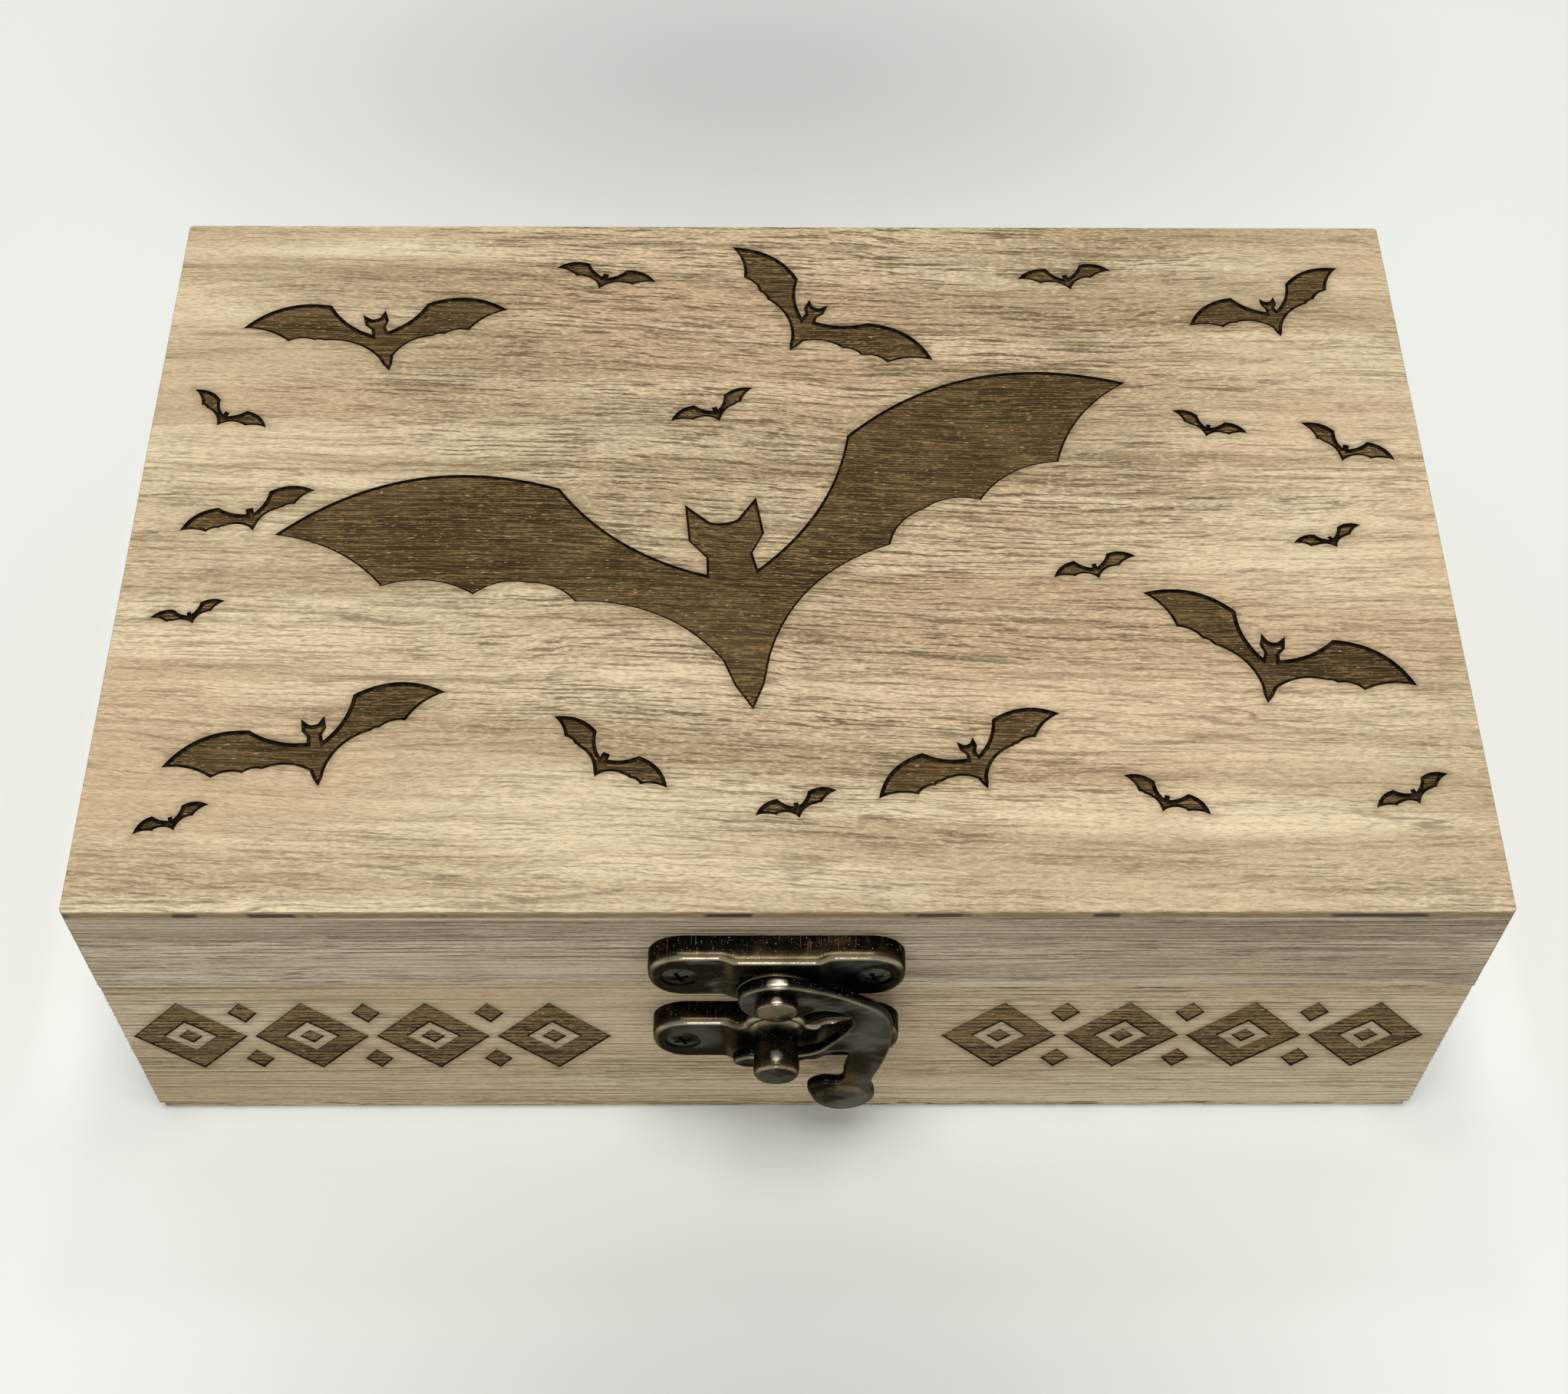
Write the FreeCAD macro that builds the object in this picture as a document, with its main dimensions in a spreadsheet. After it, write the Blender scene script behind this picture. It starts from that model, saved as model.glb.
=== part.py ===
import FreeCAD, Part
import os
from FreeCAD import Placement, Rotation, Vector

# Keepsake box in millimetres: X along the front, front face toward -Y, underside on Z = 0
os.makedirs("parts", exist_ok=True)
doc = FreeCAD.newDocument("keepsake_box")
sheet = doc.addObject("Spreadsheet::Sheet", "sizes")

sizes = {
    # wooden boards
    "box_length": 180.0,
    "box_depth": 118.0,
    "box_height": 59.0,
    "seam_height": 38.3,
    "wall": 7.0,
    "bottom_thick": 2.3,
    "bottom_inset": 0.5,
    "top_thick": 1.55,
    "base_inset": 0.28,
    "corner_ease": 0.6,
    "seam_ease": 0.3,
    "top_ease": 0.35,
    # latch plates, measured from their pivot or stud
    "latch_middle": -1.6,
    "pivot_height": 45.3,
    "stud_height": 33.6,
    "plate_length": 32.65,
    "plate_width": 10.6,
    "plate_corner": 4.6,
    "plate_thick": 3.2,
    "plate_rim": 1.0,
    "plate_nook": 0.9,
    "hub_thick": 3.85,
    "hub_half": 4.8,
    "ramp_end": 7.3,
    "latch_plate_shift": 2.4,
    "keeper_plate_shift": -4.2,
    "latch_lobe": 4.9,
    "keeper_lobe": 4.5,
    "screw_spread": 12.35,
    # stud of the keeper, from the wall outward
    "stud_root": 3.7,
    "stud_waist": 2.82,
    "stud_head": 2.95,
    "stud_long": 10.35,
    "stud_round": 0.75,
    "stud_sunk": 0.15,
    "stud_flare_end": 0.55,
    "stud_waist_at": 2.75,
    # rivet, washer and hook
    "rivet_shank": 1.6,
    "rivet_head": 2.7,
    "rivet_head_from": 5.95,
    "rivet_head_thick": 1.2,
    "rivet_ease": 0.45,
    "rivet_rise": 0.2,
    "washer_radius": 5.2,
    "washer_thick": 0.5,
    "washer_ease": 0.15,
    "hook_from": 4.4,
    "hook_thick": 1.5,
    "hook_bore": 1.68,
    "hook_front_ease": 0.65,
    "hook_back_ease": 0.3,
    "knob_side": 9.0,
    "knob_down": 27.95,
    "knob_radius": 3.75,
    "knob_rise": 0.8,
    "knob_sunk": 0.05,
    # countersunk screws of the latch
    "flat_head": 2.17,
    "flat_head_deep": 1.07,
    "flat_shank": 1.1,
    "flat_shank_long": 5.6,
    "flat_tip_long": 1.3,
    "flat_rise": 0.32,
    "flat_sunk": 0.22,
    "flat_mouth": 2.42,
    "flat_pilot": 5.4,
    "cross_long": 2.5,
    "cross_wide": 0.55,
    "cross_deep": 0.7,
    # butt hinges at the back
    "hinge_spread": 50.0,
    "hinge_length": 20.0,
    "leaf_thick": 0.65,
    "leaf_reach": 8.8,
    "leaf_gap": 0.2,
    "leaf_corner": 1.2,
    "axis_behind": 1.7,
    "knuckle": 1.4,
    "middle_knuckle": 9.6,
    "knuckle_gap": 0.2,
    "pin": 0.7,
    "pin_out": 0.4,
    "pin_play": 0.08,
    "hinge_screw_spread": 6.0,
    "hinge_screw_reach": 5.1,
    # low round-headed screws of the hinges
    "low_head_top": 1.1,
    "low_head_foot": 1.6,
    "low_head_thick": 0.35,
    "low_rise": 0.25,
    "low_shank": 0.8,
    "low_shank_long": 4.2,
    "low_tip_long": 0.9,
    "low_pilot": 4.8,
    "low_cross_long": 1.5,
    "low_cross_wide": 0.35,
    "low_cross_deep": 0.3,
    # play of a screw in its hole
    "hole_play": 0.03,
}
for row, (alias, value) in enumerate(sizes.items(), start=1):
    sheet.set("A%d" % row, alias)
    sheet.set("B%d" % row, str(value))
    sheet.setAlias("B%d" % row, alias)
doc.recompute()


# Helpers for bodies, features and edges
def formula(text):
    """Turns bare size names into references to the sheet's cells."""
    words = text.split()
    return " ".join("sizes." + word if word in sizes else word for word in words)


def bind(thing, **formulas):
    """Ties properties to formulas of sizes."""
    for name, text in formulas.items():
        thing.setExpression(name, formula(text))


def place(thing, x, y, z, rotation=None):
    """Puts a thing at three formulas, turned where a rotation is given."""
    if rotation is not None:
        thing.Placement = Placement(Vector(), rotation)
    for axis, text in zip("xyz", (x, y, z)):
        thing.setExpression(".Placement.Base." + axis, formula(text))


def new_body(name):
    """Starts an empty body that carries its node name."""
    body = doc.addObject("PartDesign::Body", name)
    body.Label = name
    return body


def lies_in(edge, **planes):
    """Tells whether an edge lies in planes such as x=3."""
    box = edge.BoundBox
    for axis, value in planes.items():
        low = getattr(box, axis.upper() + "Min")
        high = getattr(box, axis.upper() + "Max")
        if abs(low - value) > 1e-3 or abs(high - value) > 1e-3:
            return False
    return True


def soften(body, kind, size, wanted):
    """Fillets or chamfers the edges of the body's last feature that are wanted."""
    doc.recompute()
    last = body.Tip
    names = ["Edge%d" % (n + 1) for n, edge in enumerate(last.Shape.Edges) if wanted(edge)]
    feature = body.newObject("PartDesign::" + kind, body.Name + "_" + size)
    feature.Base = (last, names)
    bind(feature, **{"Radius" if kind == "Fillet" else "Size": size})


def cap(body, x, y, z, radius, rise):
    """A low round cap that stands on a height, fused to the body."""
    round_top = body.newObject("PartDesign::AdditiveSphere", body.Name + "_cap")
    ball = "( ( %s ) ^ 2 + %s ^ 2 ) / ( 2 * %s )" % (radius, rise, rise)
    bind(round_top, Radius=ball, Angle1="90 deg - 2 * atan( %s / ( %s ) )" % (rise, radius))
    place(round_top, x, y, "%s + %s - %s" % (z, rise, ball))


def is_rim(shape, edge):
    """Tells whether an edge parts a front-facing face from an upright one, in the body's own frame."""
    middle = edge.valueAt((edge.FirstParameter + edge.LastParameter) / 2)
    slopes = []
    for face in shape.ancestorsOfType(edge, Part.Face):
        u, v = face.Surface.parameter(middle)
        slopes.append(face.normalAt(u, v).z)
    return len(slopes) == 2 and min(abs(s) for s in slopes) < 0.05 and max(slopes) > 0.5


# Wooden boards with eased corners
def board(name, x, y, z, length, depth, height):
    """A board from its lowest corner and its three sizes."""
    body = new_body(name)
    blank = body.newObject("PartDesign::AdditiveBox", name + "_blank")
    bind(blank, Length=length, Width=depth, Height=height)
    place(blank, x, y, z)
    return body


def drill(body, x, y, z, radius, deep, inward):
    """A pilot hole along Y; inward is 1 from the front and -1 from the back."""
    hole = body.newObject("PartDesign::SubtractiveCylinder", body.Name + "_hole")
    bind(hole, Radius=radius, Height=deep)
    place(hole, x, y, z, Rotation(Vector(1, 0, 0), -90 * inward))


outer = sizes["box_length"] / 2
half_depth = sizes["box_depth"] / 2
seam = sizes["seam_height"]


def frame(prefix, names, inset, low, high):
    """Front and back boards over the full length, side boards between them, eased along the seam."""
    front_name, back_name, left_name, right_name = names
    length = "box_length - 2 * " + inset
    tall = high + " - " + low
    edge_x = outer - sizes.get(inset, 0)
    front = board(prefix + front_name, "- box_length / 2 + " + inset, "- box_depth / 2", low,
                  length, "wall", tall)
    back = board(prefix + back_name, "- box_length / 2 + " + inset, "box_depth / 2 - wall", low,
                 length, "wall", tall)
    for body, face in ((front, -half_depth), (back, half_depth)):
        soften(body, "Fillet", "corner_ease",
               lambda e: any(lies_in(e, x=side, y=face) for side in (-edge_x, edge_x)))
        soften(body, "Chamfer", "seam_ease", lambda e: lies_in(e, z=seam, y=face))
    side_depth = "box_depth - 2 * wall"
    left = board(prefix + left_name, "- box_length / 2 + " + inset, "- box_depth / 2 + wall", low,
                 "wall", side_depth, tall)
    right = board(prefix + right_name, "box_length / 2 - wall - " + inset, "- box_depth / 2 + wall", low,
                  "wall", side_depth, tall)
    for body, side in ((left, -edge_x), (right, edge_x)):
        soften(body, "Chamfer", "seam_ease", lambda e: lies_in(e, z=seam, x=side))
    return front, back, left, right


base_front, base_back, base_left, base_right = frame(
    "base_", ("front_wall", "back_wall", "left_wall", "right_wall"), "base_inset",
    "bottom_thick", "seam_height")
lid_front, lid_back, lid_left, lid_right = frame(
    "lid_", ("front_rail", "back_rail", "left_rail", "right_rail"), "0",
    "seam_height", "box_height - top_thick")

bottom = board("bottom_panel", "- box_length / 2 + bottom_inset", "- box_depth / 2 + bottom_inset", "0",
               "box_length - 2 * bottom_inset", "box_depth - 2 * bottom_inset", "bottom_thick")
top = board("lid_top_panel", "- box_length / 2", "- box_depth / 2", "box_height - top_thick",
            "box_length", "box_depth", "top_thick")
for panel in (bottom, top):
    soften(panel, "Fillet", "corner_ease", lambda e: e.BoundBox.XLength < 1e-3 and e.BoundBox.YLength < 1e-3)
soften(bottom, "Chamfer", "seam_ease", lambda e: lies_in(e, z=0))
soften(top, "Fillet", "top_ease", lambda e: lies_in(e, z=sizes["box_height"]))


# Latch plate and keeper plate, modelled flat with the pivot or stud on the Z axis
upright = Rotation(Vector(1, 0, 0), 90)


def latch_blank(name, shift, lobe):
    """A long plate with round ends, a lobe round the axis and a hub that ramps down to the flanks."""
    body = new_body(name)
    blank = body.newObject("PartDesign::AdditiveBox", name + "_blank")
    bind(blank, Length="plate_length", Width="plate_width", Height="hub_thick")
    place(blank, "- plate_length / 2", "- plate_width / 2 + " + shift, "0")
    soften(body, "Fillet", "plate_corner", lambda e: e.BoundBox.XLength < 1e-3 and e.BoundBox.YLength < 1e-3)
    round_end = body.newObject("PartDesign::AdditiveCylinder", name + "_lobe")
    bind(round_end, Radius=lobe, Height="hub_thick")
    doc.recompute()
    side = sizes["plate_width"] / 2 * (1 if sizes[shift] < 0 else -1) + sizes[shift]
    soften(body, "Fillet", "plate_nook",
           lambda e: e.BoundBox.XLength < 1e-3 and lies_in(e, y=side) and abs(e.BoundBox.Center.x) < 5)

    # Flanks cut down beside the hub, with an S-shaped ramp on each side
    flanks = body.newObject("Sketcher::SketchObject", name + "_flanks")
    flanks.AttachmentSupport = [(next(o for o in body.Origin.OriginFeatures if o.Role == "XZ_Plane"), "")]
    flanks.MapMode = "FlatFace"
    hub, flank = sizes["hub_thick"], sizes["plate_thick"]
    near, far = sizes["hub_half"], sizes["ramp_end"]
    end, above = sizes["plate_length"] / 2 + 2, hub + 1.5
    middle = Vector((near + far) / 2, (hub + flank) / 2, 0)
    bend = Vector(0.62, 0.24 * (hub - flank), 0)
    for turn in (1, -1):
        def spot(x, y):
            return Vector(turn * x, y, 0)
        upper = Part.Arc(spot(near, hub), spot(near + bend.x, hub - bend.y / 2), spot(middle.x, middle.y))
        lower = Part.Arc(spot(middle.x, middle.y), spot(far - bend.x, flank + bend.y / 2), spot(far, flank))
        flanks.addGeometry([upper, lower], False)
        corners = [spot(far, flank), spot(end, flank), spot(end, above), spot(near, above), spot(near, hub)]
        for start, stop in zip(corners, corners[1:]):
            flanks.addGeometry(Part.LineSegment(start, stop), False)
    relief = body.newObject("PartDesign::Pocket", name + "_relief")
    relief.Profile = flanks
    relief.Length = 60
    relief.Midplane = True
    doc.recompute()
    soften(body, "Fillet", "plate_rim", lambda e: e.BoundBox.ZMin > 2 and is_rim(body.Tip.Shape, e))
    for turn in ("", "- "):
        seat = body.newObject("PartDesign::SubtractiveCone", name + "_seat")
        bind(seat, Radius1="flat_shank", Radius2="flat_head", Height="flat_head_deep")
        place(seat, turn + "screw_spread", shift, "plate_thick - flat_sunk - flat_head_deep")
        mouth = body.newObject("PartDesign::SubtractiveCylinder", name + "_mouth")
        bind(mouth, Radius="flat_mouth", Height="1")
        place(mouth, turn + "screw_spread", shift, "plate_thick - flat_sunk")
        hole = body.newObject("PartDesign::SubtractiveCylinder", name + "_hole")
        bind(hole, Radius="flat_shank", Height="plate_thick")
        place(hole, turn + "screw_spread", shift, "0")
    return body


latch_plate = latch_blank("latch_plate", "latch_plate_shift", "latch_lobe")
rivet_hole = latch_plate.newObject("PartDesign::SubtractiveCylinder", "latch_plate_rivet_hole")
bind(rivet_hole, Radius="rivet_shank", Height="hub_thick + 1")
place(latch_plate, "latch_middle", "- box_depth / 2", "pivot_height", upright)

# Stud of the keeper: flared root in the hub, slim waist where the prong goes, rounded end
keeper = latch_blank("keeper_plate", "keeper_plate_shift", "keeper_lobe")
stud_side = keeper.newObject("Sketcher::SketchObject", "stud_side")
stud_side.AttachmentSupport = [(next(o for o in keeper.Origin.OriginFeatures if o.Role == "XZ_Plane"), "")]
stud_side.MapMode = "FlatFace"
root, waist, tip, long, curve = (sizes["stud_" + word] for word in ("root", "waist", "head", "long", "round"))
hub = sizes["hub_thick"]
root_end = Vector(root, hub - sizes["stud_sunk"], 0)
flare_end = Vector((root + 2 * waist) / 3, hub + sizes["stud_flare_end"], 0)
waist_at = Vector(waist, hub + sizes["stud_waist_at"], 0)
side_end = Vector(tip, long - curve, 0)
face_end = Vector(tip - curve, long, 0)
side_curve = Part.BSplineCurve()
side_curve.interpolate([root_end, flare_end, waist_at, side_end])
stud_side.addGeometry(side_curve, False)
bulge = curve * 0.5 ** 0.5
stud_side.addGeometry(Part.Arc(side_end, Vector(tip - curve + bulge, long - curve + bulge, 0), face_end), False)
rest = [face_end, Vector(0, long, 0), Vector(0, hub / 2, 0), Vector(root, hub / 2, 0), root_end]
for start, stop in zip(rest, rest[1:]):
    stud_side.addGeometry(Part.LineSegment(start, stop), False)
stud = keeper.newObject("PartDesign::Revolution", "stud")
stud.Profile = stud_side
stud.ReferenceAxis = (stud_side, ["V_Axis"])
stud.Angle = 360
place(keeper, "latch_middle", "- box_depth / 2", "stud_height", upright)

# Washer and rivet on the pivot
washer = new_body("latch_washer")
disc = washer.newObject("PartDesign::AdditiveCylinder", "washer_disc")
bind(disc, Radius="washer_radius", Height="washer_thick")
soften(washer, "Fillet", "washer_ease", lambda e: e.BoundBox.XLength > 2 and e.BoundBox.ZLength < 1e-3)
washer_hole = washer.newObject("PartDesign::SubtractiveCylinder", "washer_hole")
bind(washer_hole, Radius="rivet_shank", Height="washer_thick")
place(washer, "latch_middle", "- box_depth / 2 - hub_thick", "pivot_height", upright)

rivet = new_body("latch_rivet")
shank = rivet.newObject("PartDesign::AdditiveCylinder", "rivet_shank_body")
bind(shank, Radius="rivet_shank", Height="rivet_head_from + 0.2")
head = rivet.newObject("PartDesign::AdditiveCylinder", "rivet_head_body")
bind(head, Radius="rivet_head", Height="rivet_head_thick")
place(head, "0", "0", "rivet_head_from")
soften(rivet, "Fillet", "rivet_ease", lambda e: lies_in(e, z=sizes["rivet_head_from"] + sizes["rivet_head_thick"]))
cap(rivet, "0", "0", "rivet_head_from + rivet_head_thick", "rivet_head - rivet_ease", "rivet_rise")
place(rivet, "latch_middle", "- box_depth / 2", "pivot_height", upright)

# Hook: ring on the pivot, arm, prong below the stud and finger knob, clockwise as seen from the front
hook_outline = (
    # ring and outer edge of the arm
    (-4.9, 0), (-3.46, 3.46), (0, 4.9), (3.5, 4.25), (7.0, 2.75), (10.5, 0.4), (13.1, -2.1),
    (14.75, -5.4), (15.2, -9.5), (15.0, -13.5), (14.4, -17.2), (13.6, -20.8), (13.0, -23.6),
    # knob
    (13.1, -25.6), (13.55, -28.2), (12.5, -30.8), (10.2, -32.3), (7.7, -32.2), (5.7, -30.6),
    (4.7, -27.9), (4.4, -25.4), (5.6, -23.95), (7.3, -23.6), (8.5, -23.7),
    # neck and lower edge of the prong
    (9.0, -22.9), (9.1, -21.0), (9.4, -18.5), (9.75, -15.7), (9.35, -14.45), (8.3, -14.1),
    (6.9, -14.7), (5.0, -16.0), (2.9, -17.2), (0, -18.2), (-2.5, -18.75), (-4.3, -18.75),
    # tip, upper edge of the prong and inner edge of the arm
    (-5.7, -17.3), (-4.5, -15.75), (-2.2, -15.35), (0.6, -15.1), (3.4, -14.8), (5.4, -13.85),
    (7.2, -11.5), (8.9, -8.5), (9.7, -5.6), (8.9, -3.5), (7.3, -2.4), (5.4, -2.3), (3.5, -3.45),
    (0, -4.9), (-3.46, -3.46),
)
hook = new_body("latch_hook")
hook_shape = hook.newObject("Sketcher::SketchObject", "hook_shape")
hook_shape.AttachmentSupport = [(next(o for o in hook.Origin.OriginFeatures if o.Role == "XY_Plane"), "")]
hook_shape.MapMode = "FlatFace"
hook_curve = Part.BSplineCurve()
hook_curve.interpolate(Points=[Vector(x, y, 0) for x, y in hook_outline], PeriodicFlag=True)
hook_shape.addGeometry(hook_curve, False)
hook_plate = hook.newObject("PartDesign::Pad", "hook_plate")
hook_plate.Profile = hook_shape
bind(hook_plate, Length="hook_thick")
soften(hook, "Fillet", "hook_front_ease", lambda e: lies_in(e, z=sizes["hook_thick"]))
soften(hook, "Fillet", "hook_back_ease", lambda e: lies_in(e, z=0))
hook_hole = hook.newObject("PartDesign::SubtractiveCylinder", "hook_hole")
bind(hook_hole, Radius="hook_bore", Height="hook_thick")
cap(hook, "knob_side", "- knob_down", "hook_thick - knob_sunk", "knob_radius", "knob_rise")
place(hook, "latch_middle", "- box_depth / 2 - hook_from", "pivot_height", upright)


# Hinge leaves: a flat leaf on the back face with its knuckles on the hinge axis
def leaf(name, side, x, upward):
    """A leaf with its knuckles; the box leaf has the outer two, the lid leaf the middle one."""
    body = new_body(name)
    sheet_part = body.newObject("PartDesign::AdditiveBox", name + "_sheet")
    bind(sheet_part, Length="hinge_length", Width="leaf_thick", Height="leaf_reach")
    lowest = "leaf_gap" if upward else "- leaf_gap - leaf_reach"
    place(sheet_part, "- hinge_length / 2", "- axis_behind", lowest)
    far_edge = sizes["leaf_gap"] + sizes["leaf_reach"]
    far_edge = far_edge if upward else -far_edge
    soften(body, "Fillet", "leaf_corner", lambda e: e.BoundBox.YLength > 0.1 and lies_in(e, z=far_edge))
    outer_knuckle = "( hinge_length - middle_knuckle - 2 * knuckle_gap ) / 2"
    spans = [("- middle_knuckle / 2", "middle_knuckle")]
    notches = [("- hinge_length / 2", outer_knuckle + " + knuckle_gap"),
               ("middle_knuckle / 2", outer_knuckle + " + knuckle_gap")]
    if not upward:
        spans = [("- hinge_length / 2", outer_knuckle), ("middle_knuckle / 2 + knuckle_gap", outer_knuckle)]
        notches = [("- middle_knuckle / 2 - knuckle_gap", "middle_knuckle + 2 * knuckle_gap")]
    for start, length in notches:
        notch = body.newObject("PartDesign::SubtractiveBox", name + "_notch")
        bind(notch, Length=length, Width="leaf_thick", Height="knuckle + 0.2")
        place(notch, start, "- axis_behind", "0" if upward else "- knuckle - 0.2")
    for start, length in spans:
        tube = body.newObject("PartDesign::AdditiveCylinder", name + "_knuckle")
        bind(tube, Radius="knuckle", Height=length)
        place(tube, start, "0", "0", Rotation(Vector(0, 1, 0), 90))
    bore = body.newObject("PartDesign::SubtractiveCylinder", name + "_bore")
    bind(bore, Radius="pin + pin_play" if upward else "pin", Height="hinge_length")
    place(bore, "- hinge_length / 2", "0", "0", Rotation(Vector(0, 1, 0), 90))
    reach = "leaf_gap + hinge_screw_reach - 0.2" if upward else "0.2 - leaf_gap - hinge_screw_reach"
    for turn in ("", "- "):
        hole = body.newObject("PartDesign::SubtractiveCylinder", name + "_hole")
        bind(hole, Radius="low_shank + hole_play", Height="leaf_thick")
        place(hole, turn + "hinge_screw_spread", "- axis_behind", reach, Rotation(Vector(1, 0, 0), -90))
    place(body, side + x, "box_depth / 2 + axis_behind", "seam_height")
    return body


for hand, side in (("left", "- "), ("right", "")):
    leaf(hand + "_hinge_box_leaf", side, "hinge_spread", False)
    leaf(hand + "_hinge_lid_leaf", side, "hinge_spread", True)
    pin_body = new_body(hand + "_hinge_pin")
    rod = pin_body.newObject("PartDesign::AdditiveCylinder", hand + "_rod")
    bind(rod, Radius="pin", Height="hinge_length + 2 * pin_out")
    soften(pin_body, "Chamfer", "knuckle_gap", lambda e: e.BoundBox.ZLength < 1e-3)
    place(pin_body, side + "hinge_spread - hinge_length / 2 - pin_out", "box_depth / 2 + axis_behind",
          "seam_height", Rotation(Vector(0, 1, 0), 90))


# Screws: one pattern of each kind, head toward +Z with its top on Z = 0, then a copy at each place
def screw_pattern(name, head_top, head_foot, head_deep, rise, shank, shank_long, tip_long, cross):
    """A cross-slotted screw with a slightly domed head."""
    body = new_body(name)
    head_cone = body.newObject("PartDesign::AdditiveCone", name + "_head")
    bind(head_cone, Radius1=head_foot, Radius2=head_top, Height=head_deep)
    place(head_cone, "0", "0", "- " + head_deep)
    stem = body.newObject("PartDesign::AdditiveCylinder", name + "_stem")
    bind(stem, Radius=shank, Height=shank_long)
    place(stem, "0", "0", "- %s - %s" % (head_deep, shank_long))
    tip = body.newObject("PartDesign::AdditiveCone", name + "_tip")
    bind(tip, Radius1="0.2", Radius2=shank, Height=tip_long)
    place(tip, "0", "0", "- %s - %s - %s" % (head_deep, shank_long, tip_long))
    cap(body, "0", "0", "0", head_top, rise)
    long, wide, deep = (cross + word for word in ("_long", "_wide", "_deep"))
    for length, width in ((long, wide), (wide, long)):
        slot = body.newObject("PartDesign::SubtractiveBox", name + "_slot")
        bind(slot, Length=length, Width=width, Height=deep + " + " + rise)
        place(slot, "- %s / 2" % length, "- %s / 2" % width, "- " + deep)
    return body


flat_screw = screw_pattern("flat_screw", "flat_head", "flat_shank", "flat_head_deep", "flat_rise",
                           "flat_shank", "flat_shank_long", "flat_tip_long", "cross")
low_screw = screw_pattern("low_screw", "low_head_top", "low_head_foot", "low_head_thick", "low_rise",
                          "low_shank", "low_shank_long", "low_tip_long", "low_cross")


def screws(name, pattern, spots, facing):
    """Copies of a screw at formula spots, heads toward the front (1) or the back (-1)."""
    copies = []
    for x, y, z in spots:
        copy = doc.addObject("App::Link", name + "_copy")
        copy.LinkedObject = pattern
        place(copy, x, y, z, Rotation(Vector(1, 0, 0), 90 * facing).multiply(Rotation(Vector(0, 0, 1), 20)))
        copies.append(copy)
    group = doc.addObject("Part::Compound", name)
    group.Label = name
    group.Links = copies
    return group


latch_ends = ("latch_middle - screw_spread", "latch_middle + screw_spread")
hinge_ends = [side + "hinge_spread " + end + " hinge_screw_spread" for side in ("- ", "") for end in "+-"]
flat_y = "- box_depth / 2 - plate_thick + flat_sunk"
low_y = "box_depth / 2 + leaf_thick + low_head_thick"
screw_nodes = [
    screws("latch_plate_screws", flat_screw,
           [(x, flat_y, "pivot_height + latch_plate_shift") for x in latch_ends], 1),
    screws("keeper_plate_screws", flat_screw,
           [(x, flat_y, "stud_height + keeper_plate_shift") for x in latch_ends], 1),
    screws("hinge_lid_screws", low_screw,
           [(x, low_y, "seam_height + hinge_screw_reach") for x in hinge_ends], -1),
    screws("hinge_box_screws", low_screw,
           [(x, low_y, "seam_height - hinge_screw_reach") for x in hinge_ends], -1),
]

# Pilot holes in the boards
plate_boards = ((lid_front, "pivot_height + latch_plate_shift"), (base_front, "stud_height + keeper_plate_shift"))
hinge_boards = ((lid_back, "seam_height + hinge_screw_reach"), (base_back, "seam_height - hinge_screw_reach"))
for body, height in plate_boards:
    for x in latch_ends:
        drill(body, x, "- box_depth / 2", height, "flat_shank + hole_play", "flat_pilot", 1)
for body, height in hinge_boards:
    for x in hinge_ends:
        drill(body, x, "box_depth / 2", height, "low_shank + hole_play", "low_pilot", -1)

# Every feature recomputed and checked before the nodes are written out
doc.recompute()
for thing in doc.Objects:
    if "Invalid" in thing.State or "Error" in thing.State:
        raise RuntimeError("%s is %s" % (thing.Name, thing.State))
patterns = (flat_screw, low_screw)
nodes = [o for o in doc.Objects if o.TypeId == "PartDesign::Body" and o not in patterns] + screw_nodes
for node in nodes:
    if node.Shape.isNull() or not node.Shape.isValid():
        raise RuntimeError(node.Label + " has no valid shape")
    node.Shape.exportStep("parts/%s.step" % node.Label)
    box = node.Shape.BoundBox
    print("%-22s solids %d volume %9.2f  x %7.2f %7.2f  y %7.2f %7.2f  z %6.2f %6.2f" % (
        node.Label, len(node.Shape.Solids), node.Shape.Volume,
        box.XMin, box.XMax, box.YMin, box.YMax, box.ZMin, box.ZMax))
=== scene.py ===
import math

import bpy
import numpy
from mathutils import Matrix, Vector
from mathutils.geometry import delaunay_2d_cdt


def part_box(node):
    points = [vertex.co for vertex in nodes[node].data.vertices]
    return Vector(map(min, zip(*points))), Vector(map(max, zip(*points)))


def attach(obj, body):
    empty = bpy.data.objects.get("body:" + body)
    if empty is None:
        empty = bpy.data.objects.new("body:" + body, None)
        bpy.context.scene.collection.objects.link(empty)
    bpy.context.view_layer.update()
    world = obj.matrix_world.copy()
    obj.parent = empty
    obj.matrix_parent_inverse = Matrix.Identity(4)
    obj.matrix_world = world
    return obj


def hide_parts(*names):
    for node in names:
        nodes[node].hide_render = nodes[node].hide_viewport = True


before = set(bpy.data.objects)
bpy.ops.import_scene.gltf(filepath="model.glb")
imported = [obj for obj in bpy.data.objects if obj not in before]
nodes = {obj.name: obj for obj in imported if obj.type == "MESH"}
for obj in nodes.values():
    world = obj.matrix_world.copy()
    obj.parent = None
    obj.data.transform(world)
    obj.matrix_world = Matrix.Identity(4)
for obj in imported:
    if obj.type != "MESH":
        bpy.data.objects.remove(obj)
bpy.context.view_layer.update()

MM = 0.001

# Walls, rails and bottom: thin boards of light, open-pored wood, left bare, with fine saw lines along
# their sides. The rails of the lid are greyer than the walls of the base, with a brown strip along
# their top. The ends of the boards, which show at the corners, are darker end grain, and the rounded
# corners beside them are darkened as painted shade.


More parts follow.
